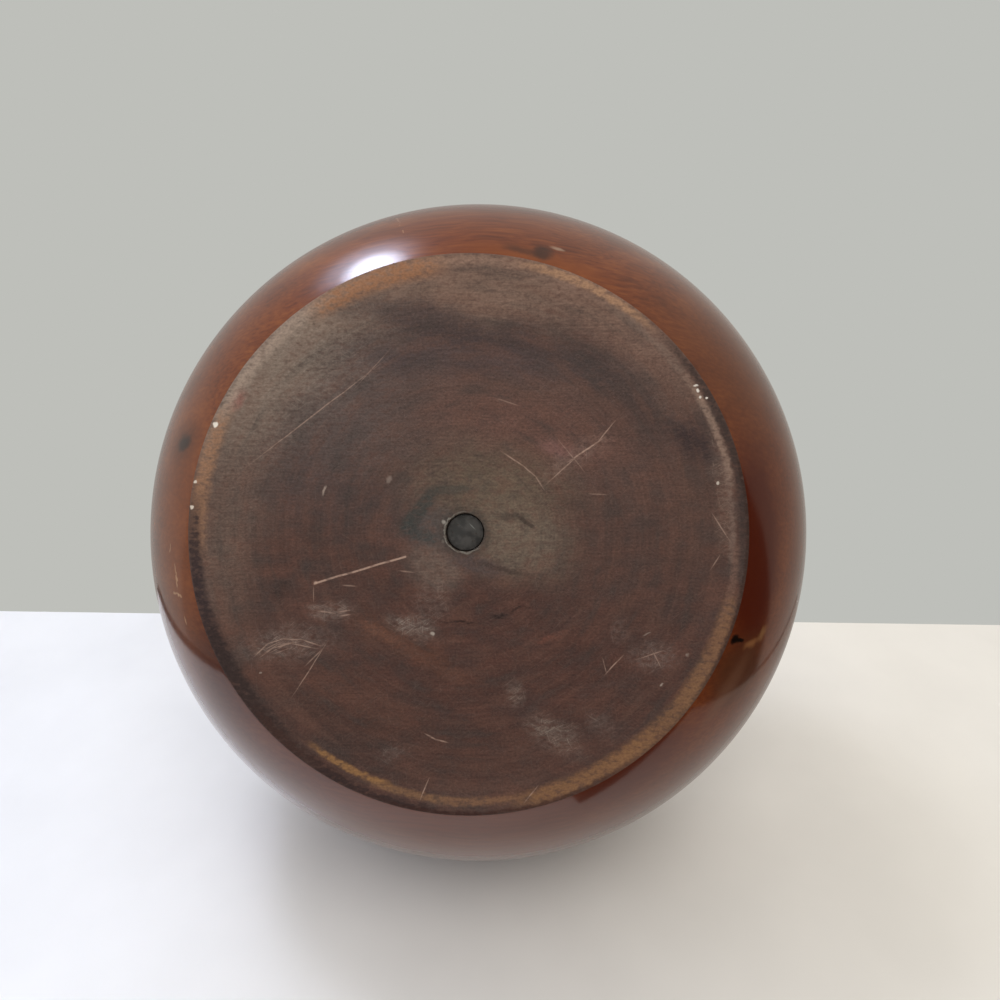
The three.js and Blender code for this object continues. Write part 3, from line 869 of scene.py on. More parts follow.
@dataclass(frozen=True)
class DulledSteel(Finish):
    """Bare mild steel, cold headed, long dulled to a grey-green skin by the acid in the wood."""

    name: str = "dulled_mild_steel"
    skin: str = "#4e4d4b"
    pale: str = "#6c6966"
    rust: str = "#4a382c"
    bright: str = "#9a9c96"
    bloom: float = 3.0
    spot: float = 0.8
    scuff: Scratch = Scratch((1.6, -3.0), (3.4, -1.2), 0.35, 0.8)
    roughness: Point = (0.42, 0.62)

    def sockets(self, tree: Tree) -> dict[str, object]:
        """Lay a pale bloom, rust spots and one bright scuff on the skin.

        Args:
            tree: the material's node tree.

        Returns:
            Values and sockets by input name.
        """
        where = place(tree)
        bloom = cloud(tree, where, (self.bloom,) * 3, 5.0)
        spots = cloud(tree, where, (self.spot,) * 3, 3.0)
        colour = paint(tree, self.skin, band(tree, bloom, 0.4, 0.65), self.pale, 0.7)
        colour = paint(tree, colour, band(tree, spots, 0.6, 0.72), self.rust, 0.5)
        colour = paint(tree, colour, self.scuff.tapered(tree, where), self.bright)
        rough = add(tree, "MapRange", bloom, *CLOUDY, *self.roughness)
        return {"Base Color": colour, "Metallic": 0.55, "Roughness": rough,
                "Normal": relief(tree, spots, 0.04)}


@dataclass(frozen=True)
class TurnedBrass(Finish):
    """Free-machining brass as it left the lathe: bright, with fine tool lines round it."""

    name: str = "turned_brass"
    metal: str = "#c9a45c"
    tarnish: str = "#8d6c38"
    age: float = 2.5
    tool_line: Triple = (9.0, 9.0, 0.25)

    def sockets(self, tree: Tree) -> dict[str, object]:
        """Tarnish the brass here and there, and line it.

        Args:
            tree: the material's node tree.

        Returns:
            Values and sockets by input name.
        """
        where = place(tree)
        age = cloud(tree, where, (self.age,) * 3, 4.0)
        lines = cloud(tree, where, self.tool_line, 1.0)
        colour = paint(tree, self.metal, band(tree, age, 0.42, 0.7), self.tarnish, 0.6)
        return {"Base Color": colour, "Metallic": 1.0, "Roughness": 0.3,
                "Normal": relief(tree, lines, 0.02)}


@dataclass(frozen=True)
class NickelPlate(Finish):
    """Bright nickel plate over polished steel, handled for years.

    It mirrors the room, a little warmer than chrome, and its high places carry a haze of fine wear.
    """

    name: str = "bright_nickel_plate"
    metal: str = "#cfccc4"
    dulled: str = "#a9a59b"
    roughness: Point = (0.14, 0.34)
    wear: float = 5.0
    polish_line: Triple = (0.5, 0.5, 9.0)

    def sockets(self, tree: Tree) -> dict[str, object]:
        """Dull the plate where hands have worn it, and line it along its length.

        Args:
            tree: the material's node tree.

        Returns:
            Values and sockets by input name.
        """
        where = place(tree)
        wear = cloud(tree, where, (self.wear,) * 3, 5.0)
        lines = cloud(tree, where, self.polish_line, 2.0)
        colour = paint(tree, self.metal, band(tree, wear, 0.45, 0.7), self.dulled, 0.7)
        rough = add(tree, "MapRange", wear, 0.35, 0.7, *self.roughness)
        return {"Base Color": colour, "Metallic": 1.0, "Roughness": rough,
                "Normal": relief(tree, lines, 0.008)}


@dataclass(frozen=True)
class PeenedSteel(Finish):
    """Steel rivet heads, closed with a hammer, so their domes carry small flats and dents."""

    name: str = "peened_steel"
    metal: str = "#aaa9a6"
    grimy: str = "#6e6a64"
    dents_per_mm: float = 0.9
    grime: float = 1.5

    def sockets(self, tree: Tree) -> dict[str, object]:
        """Dent the steel, with grime here and there.

        Args:
            tree: the material's node tree.

        Returns:
            Values and sockets by input name.
        """
        where = place(tree)
        dents = add(tree, "TexVoronoi", where, sockets={"Scale": self.dents_per_mm}, out="Distance")
        grime = cloud(tree, where, (self.grime,) * 3, 4.0)
        colour = paint(tree, self.metal, band(tree, grime, 0.5, 0.72), self.grimy, 0.6)
        return {"Base Color": colour, "Metallic": 1.0, "Roughness": 0.32,
                "Normal": relief(tree, dents, 0.12)}


@dataclass(frozen=True)
class Laminate(Finish):
    """White melamine laminate: satin and faintly uneven, and clear from behind.

    Its colours are those at the window's end, in the middle and at the far end: painted light that
    shifts across the table.
    """

    name: str
    colours: tuple[str, str, str]
    mottle: float = 60.0
    half_run: float = 240.0

    def sockets(self, tree: Tree) -> dict[str, object]:
        """Change the colour slowly from end to end.

        Args:
            tree: the material's node tree.

        Returns:
            Values and sockets by input name.
        """
        where = place(tree)
        mottle = cloud(tree, where, (self.mottle,) * 3, 3.0)
        across = add(tree, "SeparateXYZ", where)
        share = add(tree, "MapRange", across, -self.half_run, self.half_run, 0.0, 1.0)
        colour = add(tree, "ValToRGB", share, stops=zip((0.0, 0.5, 1.0), self.colours))
        return {"Base Color": shade(tree, colour, mottle, 0.03), "Roughness": 0.4}

    def surface(self, tree: Tree) -> Socket:
        """Show the laminate from above only.

        Args:
            tree: the material's node tree.

        Returns:
            The shader.
        """
        clear = add(tree, "BsdfTransparent")
        back = add(tree, "NewGeometry", out="Backfacing")
        return add(tree, "MixShader", back, super().surface(tree), clear)


@dataclass(frozen=True)
class ShadedEdge(Finish):
    """The dark edge under a table top, which only mirrors see."""

    name: str = "shaded_edge"
    colour: str = "#17120f"

    def sockets(self, tree: Tree) -> dict[str, object]:
        """Give the shader's sockets."""
        return {"Base Color": linear(self.colour), "Roughness": 0.9}


# Pieces


class Body(Enum):
    """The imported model's moving bodies."""

    BOWL = "bowl"
    CRACKER = "cracker"
    LEFT_LEVER = "left_lever"
    RIGHT_LEVER = "right_lever"


def fit(made: bpy.types.Object, body: str, node: str, slot: str, *finishes: Finish) -> None:
    """Dress a piece and put it on its body in place of its CAD node.

    Args:
        made: the piece.
        body: the moving body that it rides on.
        node: the CAD node that it stands for.
        slot: the record's material slot; not used.
        finishes: the finishes of its material slots, in order.
    """
    made.data.materials.clear()
    for finish in finishes:
        made.data.materials.append(finish.material())
    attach(made, body)
    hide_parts(node)
    log.info("%s: %d faces, %s", made.name, len(made.data.polygons), finishes[0].name)


@dataclass
class Bowl:
    """The bowl: one turning, bare under its base and varnished all over the rest."""

    base_radius: float = 98.0
    height: float = 115.0
    side_lean: float = 33.0
    lower_arc: float = 92.0
    upper_arc: float = 72.0
    wall: float = 12.0
    lip: float = 9.0
    floor: float = 15.0
    inner_heel: float = 45.0
    base_ring: float = 6.0
    base_hollow: float = 0.4
    base_edge: float = 1.0
    recess_radius: float = 6.75
    recess_depth: float = 3.4
    hole_radius: float = 3.9
    base_steps: tuple[float, ...] = (9.0, 20.0, 35.0, 50.0, 65.0, 78.0)
    floor_steps: tuple[float, ...] = (60.0, 40.0, 20.0)
    recess_ease: Point = (0.3, 0.35)
    bare_margin: Point = (0.3, 0.2)
    facets: int = 288
    bare: BareWood = field(default_factory=BareWood)
    marks_and_painted_light: tuple[Blot, ...] = each(
        Blot,
        # Painted shade: the half that faces the table as the bowl leans is darker.
        ((10, 120, 40), (150, 75, 90), "#4c1d0c", 0.7, 0, 0.6),
        ((130, 0, 30), (50, 90, 70), "#572410", 0.5, 0, 0.6),
        ((-88, 82, 24), (52, 52, 44), "#45190c", 0.6, 0, 0.6),
        ((-104, -10, 6), (14, 56, 16), "#7b4421", 0.45, 0, 0.6),
        ((-103.5, -32.5, 8), (9, 7, 9), "#3f1d0e", 0.55, 0, 0.7),
        ((-103.5, -32.5, 8), (4.2, 2.8, 4.5), "#1b0f0a", 0.85, 0, 0.5),
        ((26, -96, 1), (26, 6, 4), "#7a3c0e", 0.6, 15, 0.6),
        ((27.5, -99, 3.5), (3.4, 3.4, 4.5), "#25130b", 0.75, 0, 0.6),
        ((20, -100, 2.6), (7, 2.0, 2.6), "#32180c", 0.6, 20, 0.7),
        ((32.5, -101.5, 6.4), (2.2, 1.0, 1.4), "#a98f78", 0.55, 15, 0.5),
        ((101, 6, 4), (13, 38, 14), "#451305", 0.9, 0, 0.4),
        ((97, 50, 8), (14, 13, 12), "#472817", 0.75, -30, 0.5),
        ((92, 56, 8), (3, 13, 5), "#6a4836", 0.45, 32, 0.8),
        ((94.0, 37.2, 1.2), (2.4, 2.0, 1.6), "#0b0604", 0.97, 20, 0.3),
        ((95.6, 38.0, 3.0), (2.0, 1.0, 2.2), "#0b0604", 0.95, 30, 0.3),
        # Painted reflection: a lighter, greyer brown that stands in for the film's reflection of the
        # room here.
        ((86, -60, 14), (34, 30, 26), "#5d3825", 0.5, 0, 0.6),
        ((60, 80, 2), (20, 9, 7), "#4d1c0c", 0.75, -45, 0.6),
        ((-88, 50, 4), (14, 26, 9), "#35150a", 0.5, 30, 0.7),
        ((40, 92, 4), (52, 14, 8), "#46190b", 0.4, -24, 0.7),
        ((101.2, 39.3, 7.4), (3.6, 1.3, 3.4), "#8a5c36", 0.6, -14, 0.7),
        ((105.8, 36.4, 11.0), (1.5, 2.6, 2.4), "#8d673f", 0.5, 35, 0.7))
    nicks: tuple[Scratch, ...] = each(
        Scratch,
        ((-106.5, 9.5, 7.2), (-104.4, 17.5, 5.8), 0.8, 0.45),
        ((-105.2, 16.5, 6.4), (-104.8, 23.5, 7.2), 1.1, 0.45),
        ((-107.0, 22.0, 8.6), (-103.4, 23.8, 5.9), 1.0, 0.45),
        ((-102.4, 31.0, 6.2), (-101.8, 33.5, 6.4), 0.8, 0.45),
        ((-109.5, 0.5, 8.6), (-108.3, 7.0, 8.2), 0.5, 0.45),
        ((-28.9, -121.8, 27.3), (-23.5, -109.4, 11.1), 0.5, 0.45))

    @property
    def arc_centre(self) -> float:
        """Distance of the lower arc's centre from the axis."""
        return self.base_radius - self.lower_arc * math.sin(math.radians(self.side_lean))

    @property
    def belly(self) -> Point:
        """Radius and height of the widest place."""
        rise = self.lower_arc * math.cos(math.radians(self.side_lean))
        return self.arc_centre + self.lower_arc, rise

    @property
    def upper_centre(self) -> Point:
        """Centre of the arc from the belly up to the lip."""
        radius, height = self.belly
        return radius - self.upper_arc, height

    @property
    def lip_lean(self) -> float:
        """Angle in radians at which the upper arc runs into the lip."""
        lip = self.lip / 2
        return math.asin((self.height - self.belly[1] - lip) / (self.upper_arc - lip))

    def rounding(self, reach: float, height: float) -> tuple[Point, float]:
        """Place the rounding that leads from a level face into an arc round the lower centre.

        Args:
            reach: distance from the arc's centre to the rounding's.
            height: the rounding's height above the base.

        Returns:
            The rounding's centre, and the angle in degrees at which it meets the arc.
        """
        drop = self.belly[1] - height
        centre = (self.arc_centre + math.sqrt(reach ** 2 - drop ** 2), height)
        return centre, -math.degrees(math.asin(drop / reach))

    def outside(self) -> Profile:
        """Give the profile from the recess under the base, out and up to the top of the lip.

        Returns:
            Points of radius and height in millimetres.
        """
        lip, lean = self.lip / 2, math.degrees(self.lip_lean)
        centre, height = self.upper_centre
        top = (centre + (self.upper_arc - lip) * math.cos(self.lip_lean), self.height - lip)
        edge, meeting = self.rounding(self.lower_arc - self.base_edge, self.base_edge)
        ring_inner = self.base_radius - self.base_edge - self.base_ring
        return [
            (self.hole_radius, self.recess_depth),
            (self.recess_radius, self.recess_depth),
            (self.recess_radius, self.base_hollow + self.recess_ease[1]),
            (self.recess_radius + self.recess_ease[0], self.base_hollow),
            *((r, self.base_hollow) for r in (*self.base_steps, ring_inner - self.base_ring)),
            (ring_inner, 0.0),
            (edge[0], 0.0),
            *arc(edge, self.base_edge, -75, meeting, 3),
            *arc((self.arc_centre, height), self.lower_arc, meeting + 1, 0, 30),
            *arc((centre, height), self.upper_arc, lean / 12, lean, 11),
            *arc(top, lip, lean + 10, lean + 180, 16),
        ]

    def inside(self) -> Profile:
        """Give the profile from the lip down the inner wall to the floor and the bolt's hole.

        Returns:
            Points of radius and height in millimetres.
        """
        lip, lean = self.lip / 2, self.lip_lean
        belly_radius, belly_height = self.belly
        lip_inner = (
            self.upper_centre[0] + (self.upper_arc - self.lip) * math.cos(lean),
            self.height - lip - lip * math.sin(lean),
        )
        inner_belly = belly_radius - self.wall
        rise, retreat = lip_inner[1] - belly_height, inner_belly - lip_inner[0]
        upper = (retreat ** 2 + rise ** 2) / (2 * retreat)
        upper_end = math.degrees(math.asin(rise / upper))
        lower = self.lower_arc - self.wall
        heel, start = self.rounding(lower - self.inner_heel, self.floor + self.inner_heel)
        return [
            *arc((inner_belly - upper, belly_height), upper, upper_end * 0.9, 0, 9),
            *arc((self.arc_centre, belly_height), lower, start / 8, start, 7),
            *arc(heel, self.inner_heel, start - 3, -90, 18),
            *((r, self.floor) for r in (*self.floor_steps, self.hole_radius)),
        ]

    def build(self) -> None:
        """Turn the bowl, and give its flat base the bare finish."""
        mesh = turned([*self.outside(), *self.inside()], self.facets, closed=True)
        made = to_object("bowl_turning", mesh, 24.0)
        side = VarnishedWood("varnished_stained_hardwood", marks_and_painted_light=self.marks_and_painted_light, nicks=self.nicks)
        fit(made, Body.BOWL.value, "bowl_body", "bowl_wood", self.bare, side)
        reach = (self.base_radius + self.bare_margin[0]) * MM
        top = (self.recess_depth + self.bare_margin[1]) * MM
        for face in made.data.polygons:
            x, y, z = face.center
            face.material_index = 0 if z < top and math.hypot(x, y) < reach else 1


@dataclass
class Bolt:
    """The carriage bolt: a low dome, a square neck and a rolled thread."""

    head_radius: float = 6.35
    head_rim: float = 1.1
    dome: float = 1.3
    recess: float = 0.7
    neck: float = 5.3
    neck_height: float = 4.0
    neck_sink: float = 0.3
    neck_round: float = 0.3
    shank_radius: float = 2.5
    thread_depth: float = 0.4
    thread_pitch: float = 0.8
    length: float = 27.0
    easing: float = 0.25
    rim_round: float = 0.05
    end_chamfer: Point = (0.3, 0.2)

    def build(self) -> None:
        """Head the bolt, square its neck and thread its shank."""
        under = self.recess + self.dome + self.head_rim
        radius = (self.head_radius ** 2 + self.dome ** 2) / (2 * self.dome)
        half = math.degrees(math.asin(self.head_radius / radius))
        dome = arc((0.0, self.recess + radius), radius, -90, half - 90, 12)[:-1]
        end = under + self.length
        thread_start = under + self.neck_height + self.thread_pitch
        turns = int((end - thread_start - self.thread_pitch) / self.thread_pitch)
        root = self.shank_radius - self.thread_depth
        thread = [
            (root if i % 2 else self.shank_radius, thread_start + i / 2 * self.thread_pitch)
            for i in range(2 * turns)
        ]
        made = to_object("carriage_bolt_headed", turned([
            (0.0, self.recess), *dome[1:],
            (self.head_radius - self.rim_round, self.recess + self.dome - self.rim_round),
            (self.head_radius, self.recess + self.dome + self.easing),
            (self.head_radius, under - self.easing / 2),
            (self.head_radius - self.easing, under),
            (self.shank_radius, under),
            *thread,
            (root, end - self.end_chamfer[1]),
            (root - self.end_chamfer[0], end),
            (0.0, end),
        ], 64))
        side, low, high = self.neck / 2, under - self.neck_sink, under + self.neck_height
        neck = slab([(-side, low), (side, low), (side, high), (-side, high)], self.neck,
                    self.neck_round)
        combine(made, [neck], "UNION")
        fit(made, Body.BOWL.value, "carriage_bolt", "bolt_steel", DulledSteel())


@dataclass
class Insert:
    """The brass insert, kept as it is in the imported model, because no view shows it."""

    node: str = "threaded_insert"
    brass: TurnedBrass = field(default_factory=TurnedBrass)

    def build(self) -> None:
        """Dress the insert."""
        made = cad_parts[self.node]
        made.data.materials.clear()
        made.data.materials.append(self.brass.material())
        log.info("%s: carried over, %s", self.node, self.brass.name)


@dataclass
class Post:
    """The turned post: foot, cove, bead, flare and head, slotted for the cracker and drilled."""

    bottom: float = 15.3
    height: float = 93.0
    foot_radius: float = 25.0
    foot_height: float = 7.0
    stem_radius: float = 12.0
    bead: float = 3.0
    head_radius: float = 31.0
    head_height: float = 51.0
    flare: float = 12.0
    edge: float = 3.0
    slot_depth: float = 44.0
    slot_width: float = 10.4
    hole_radius: float = 2.6
    hole_depth: float = 45.0
    countersink: float = 0.7
    insert_hole: float = 5.2
    insert_depth: float = 17.0
    insert_point: float = 2.0
    drill_point: float = 1.2
    foot_ease: float = 0.5
    slot_flare: float = 0.8
    clear: float = 2.0
    groove_depths: tuple[float, ...] = (9.0, 12.0)
    groove: tuple[Point, ...] = ((0.0, -0.5), (0.5, -0.15), (0.5, 0.15), (0.0, 0.5))

    def profile(self) -> Profile:
        """Give the post's profile from its foot to its top.

        Returns:
            Points of radius and height in millimetres.
        """
        top, foot_top = self.bottom + self.height, self.bottom + self.foot_height
        head_bottom = top - self.head_height
        flare_bottom = head_bottom - self.flare
        bead_height = (foot_top + flare_bottom) / 2
        cove_height = bead_height - 2 * self.bead - foot_top
        cove_reach = self.foot_radius - self.edge - self.stem_radius
        flare_reach = self.head_radius - self.edge - self.stem_radius
        quarter = [math.pi / 2 * i / 12 for i in range(13)]
        grooves = [
            (self.head_radius - cut, top - depth + offset)
            for depth in sorted(self.groove_depths, reverse=True)
            for cut, offset in self.groove
        ]
        return [
            (0.0, self.bottom), (self.foot_radius - self.foot_ease, self.bottom),
            (self.foot_radius, self.bottom + self.foot_ease),
            *arc((self.foot_radius - self.edge, foot_top - self.edge), self.edge, 0, 90, 8),
            *((self.stem_radius + cove_reach * (1 - math.sin(a)),
               foot_top + cove_height * (1 - math.cos(a))) for a in quarter[1:]),
            *arc((self.stem_radius, bead_height), self.bead, -85, 85, 12),
            *((self.stem_radius + flare_reach * (1 - math.cos(a)),
               flare_bottom + self.flare * math.sin(a)) for a in quarter),
            *arc((self.head_radius - self.edge, head_bottom + self.edge), self.edge, -80, 0, 8),
            *grooves,
            *arc((self.head_radius - self.edge, top - self.edge), self.edge, 0, 90, 8),
            (0.0, top),
        ]

    def cutters(self) -> list[bmesh.types.BMesh]:
        """Make what cuts the slot, the insert's hole and the six countersunk pick holes.

        Returns:
            Closed meshes, which stick out of the wood where they enter it.
        """
        top = self.bottom + self.height
        rim, clear = top + 0.01, top + self.clear
        half, flare = self.slot_width / 2, self.slot_flare
        right = [(half, top - self.slot_depth), (half, top - flare), (half + flare, rim),
                 (half + flare, clear)]
        slot = slab([*right, *((-x, z) for x, z in reversed(right))],
                    2 * (self.head_radius + self.clear))
        insert_top = self.bottom + self.insert_depth
        cuts = [
            moved(slot, Matrix.Rotation(math.pi / 2, 4, "Z")),
            turned([
                (0.0, self.bottom - self.clear / 2), (self.insert_hole, self.bottom - self.clear / 2),
                (self.insert_hole, insert_top), (0.0, insert_top + self.insert_point),
            ], 32),
        ]
        hole_bottom, sink = top - self.hole_depth, self.hole_radius + self.countersink
        for x, y, _ in pick_places():
            hole = turned([
                (0.0, hole_bottom - self.drill_point), (self.hole_radius, hole_bottom),
                (self.hole_radius, top - self.countersink), (sink, top), (sink, clear), (0.0, clear),
            ], 32)
            cuts.append(moved(hole, shift(x, y)))
        return cuts

    def build(self) -> None:
        """Turn the post, then slot and drill it."""
        made = to_object("post_turning", turned(self.profile(), 128))
        combine(made, self.cutters(), "DIFFERENCE")
        wood = VarnishedWood("varnished_post_hardwood", "#56290f", "#7c421d", "#93582b",
                             fibre=Fibre.ALONG_Z, ring_spacing=9.0)
        fit(made, Body.BOWL.value, "centre_post", "post_wood", wood)


def pick_places(count: int = 6, radius: float = 21.5) -> list[Triple]:
    """Say where the picks stand: evenly round the post, none in line with its slot.

    Args:
        count: how many picks there are.
        radius: how far from the axis they stand, in millimetres.

    Returns:
        X, Y and the heading in radians of each.
    """
    headings = [2 * math.pi * (i + 0.5) / count for i in range(count)]
    return [(radius * math.cos(a), radius * math.sin(a), a) for a in headings]


@dataclass
class Cracker:
    """The cracker: two toothed levers on two rivets between two link plates."""

    pivot: float = 194.6
    spacing: float = 12.0
    length: float = 130.0
    thickness: float = 7.0
    eye: float = 5.0
    rivet_radius: float = 2.0
    rivet_head: float = 3.3
    rivet_dome: float = 1.5
    rivet_ease: float = 0.1
    rivet_gap: float = 0.15
    seat_gap: float = 0.3
    link_thickness: float = 1.6
    gap: float = 2.0
    jaw_start: float = 9.0
    small_jaw: Point = (18.0, 4.5)
    large_jaw: Point = (26.0, 6.5)
    land: float = 3.0
    tooth: float = 0.5
    tooth_pitch: float = 2.4
    tooth_steps: tuple[float, ...] = (0.0, 0.8, 1.0, 0.8)
    bore_reach: Point = (9.0, 3.0)
    metal: float = 7.0
    handle: float = 4.0
    neck: float = 3.0
    ball: float = 4.2
    flutes: int = 12
    flute_depth: float = 0.45
    flute_fade: float = 3.0
    fluted: Point = (0.22, 0.90)
    grip_start: float = 0.16
    grip_steps: int = 40
    edge_round: float = 0.3
    plate_round: float = 0.35

    def hollow(self, edge: float, top: float, jaw: Point) -> Profile:
        """Give one toothed hollow of a jaw, going down from its top.

        Args:
            edge: where the jaw's flat stands along X.
            top: the hollow's upper end.
            jaw: its length and depth.

        Returns:
            The hollow's points, a tooth at every other step.
        """
        length, depth = jaw
        radius = (depth ** 2 + length ** 2 / 4) / (2 * depth)
        half = math.asin(length / 2 / radius)
        steps = round(length / self.tooth_pitch) * len(self.tooth_steps)
        points = []
        for i in range(steps + 1):
            angle = half - 2 * half * i / steps
            reach = radius - self.tooth * self.tooth_steps[i % len(self.tooth_steps)]
            points.append((edge + depth - radius + reach * math.cos(angle),
                           top - length / 2 + reach * math.sin(angle)))
        return points

    def back(self, points: Profile, steps: int) -> Profile:
        """Draw a smooth curve through a few points, for the lever's outer side.

        Args:
            points: the points.
            steps: how many points each stretch gets.

        Returns:
            The curve.
        """
        ends = [points[0], *points, points[-1]]
        curve = []
        for a, b, c, d in zip(ends, ends[1:], ends[2:], ends[3:]):
            for i in range(steps):
                t = i / steps
                curve.append(tuple(
                    0.5 * (2 * q + (r - p) * t + (2 * p - 5 * q + 4 * r - s) * t ** 2
                           + (3 * q - p - 3 * r + s) * t ** 3)
                    for p, q, r, s in zip(a, b, c, d)))
        return [*curve, points[-1]]

    def grip(self, top: float, centre: float) -> bmesh.types.BMesh:
        """Turn the handle with its flutes and the ball at its end.

        Args:
            top: the handle's upper end, below the pivot.
            centre: where it stands along X.

        Returns:
            The closed handle.
        """
        span, swell = top + self.length, self.handle - self.neck
        shares = [self.grip_start + (1 - self.grip_start) * i / self.grip_steps
                  for i in range(self.grip_steps + 1)]
        mesh = turned([
            *arc((0.0, self.ball - self.length), self.ball, -90, 52, 10),
            *((self.neck + swell * math.sin(math.pi * t), span * t - self.length) for t in shares),
            (0.0, top),
        ], 72)
        low, high = (span * share - self.length for share in self.fluted)
        for vert in mesh.verts:
            x, y, z = vert.co / MM
            fade = min(1.0, max(0.0, min(z - low, high - z) / self.flute_fade))
            wave = 0.5 - 0.5 * math.cos(self.flutes * math.atan2(y, x))
            radius = math.hypot(x, y)
            if radius > ON_AXIS and fade > 0:
                vert.co.xy *= 1 - self.flute_depth * fade * wave ** 0.7 / radius
        return moved(mesh, shift(centre))

    def bore(self, reach: float, x: float = 0.0) -> bmesh.types.BMesh:
        """Make what drills a rivet's hole along Y.

        Args:
            reach: how far it goes to each side.
            x: where it stands along X.

        Returns:
            The closed drill.
        """
        radius = self.rivet_radius + self.rivet_gap
        drill = turned([(0.0, -reach), (radius, -reach), (radius, reach), (0.0, reach)], 32)
        return moved(drill, Matrix.Rotation(math.pi / 2, 4, "X"), shift(x))

    def lever(self, name: str, side: int, body: Body, node: str) -> None:
        """Forge one lever.

        Args:
            name: the piece's name.
            side: 1 for the right lever and -1 for the left.
            body: the body that it rides on.
            node: the CAD node that it stands for.
        """
        edge = self.gap / 2 - self.spacing / 2
        small_top = -self.jaw_start
        large_top = small_top - self.small_jaw[0] - self.land
        jaw_end = large_top - self.large_jaw[0]
        handle = edge + self.ball
        outline = [
            *arc((0.0, 0.0), self.eye, 30, 180, 24),
            *self.hollow(edge, small_top, self.small_jaw),
            *self.hollow(edge, large_top, self.large_jaw),
            (handle - self.neck, jaw_end - self.land),
            *self.back([
                (handle + self.neck, jaw_end - self.land),
                (edge + self.large_jaw[1] + self.metal, large_top - self.large_jaw[0] / 2),
                (edge + self.small_jaw[1] + self.metal, small_top - self.small_jaw[0] / 2),
                (self.eye, 0.0),
            ], 12),
        ]
        made = to_object(name, slab(outline, self.thickness, self.edge_round))
        combine(made, [self.grip(jaw_end, handle)], "UNION")
        combine(made, [self.bore(self.bore_reach[0])], "DIFFERENCE")
        turn = Matrix.Rotation(0.0 if side > 0 else math.pi, 4, "Z")
        made.data.transform(shift(side * self.spacing / 2, 0.0, self.pivot) @ turn)
        fit(made, body.value, node, "cracker_plate", NickelPlate())

    def link(self, name: str, side: int, node: str) -> None:
        """Blank one link plate, with its rims tumbled round.

        Args:
            name: the piece's name.
            side: -1 for the front plate and 1 for the back.
            node: the CAD node that it stands for.
        """
        reach = self.spacing / 2
        outline = [*arc((reach, 0.0), self.eye, -90, 90, 24), *arc((-reach, 0.0), self.eye, 90, 270, 24)]
        made = to_object(name, slab(outline, self.link_thickness, self.plate_round))
        bores = [self.bore(self.bore_reach[1], x) for x in (-reach, reach)]
        combine(made, bores, "DIFFERENCE")
        offset = self.thickness / 2 + self.seat_gap + self.link_thickness / 2
        made.data.transform(shift(0.0, side * offset, self.pivot))
        fit(made, Body.CRACKER.value, node, "cracker_plate", NickelPlate())

    def rivet(self, name: str, side: int, node: str) -> None:
        """Close one rivet, with a peened dome at each end.

        Args:
            name: the piece's name.
            side: 1 for the right rivet and -1 for the left.
            node: the CAD node that it stands for.
        """
        face = self.thickness / 2 + self.seat_gap + self.link_thickness + self.rivet_gap
        dome = (self.rivet_head ** 2 + self.rivet_dome ** 2) / (2 * self.rivet_dome)
        half = math.degrees(math.asin(self.rivet_head / dome))
        top, under = face + self.rivet_dome, self.rivet_head - self.rivet_ease
        low = arc((0.0, dome - top), dome, -90, half - 90, 8)
        high = arc((0.0, top - dome), dome, 90 - half, 90, 8)
        made = to_object(name, turned([
            (0.0, -top), *low[1:], (under, -face), (self.rivet_radius, -face),
            (self.rivet_radius, face), (under, face), *high[:-1], (0.0, top),
        ], 40))
        made.data.transform(shift(side * self.spacing / 2, 0.0, self.pivot)
                            @ Matrix.Rotation(math.pi / 2, 4, "X"))
        fit(made, Body.CRACKER.value, node, "rivet_steel", PeenedSteel())

    def build(self) -> None:
        """Make both levers, both links and both rivets."""
        for side, hand, body in ((-1, "left", Body.LEFT_LEVER), (1, "right", Body.RIGHT_LEVER)):
            self.lever(f"lever_{hand}_forged", side, body, f"cracker_lever_{hand}")
        for side, face in ((-1, "front"), (1, "back")):
            self.link(f"link_{face}_blanked", side, f"cracker_link_{face}")
        for side, hand in ((-1, "left"), (1, "right")):
            self.rivet(f"rivet_{hand}_peened", side, f"cracker_rivet_{hand}")


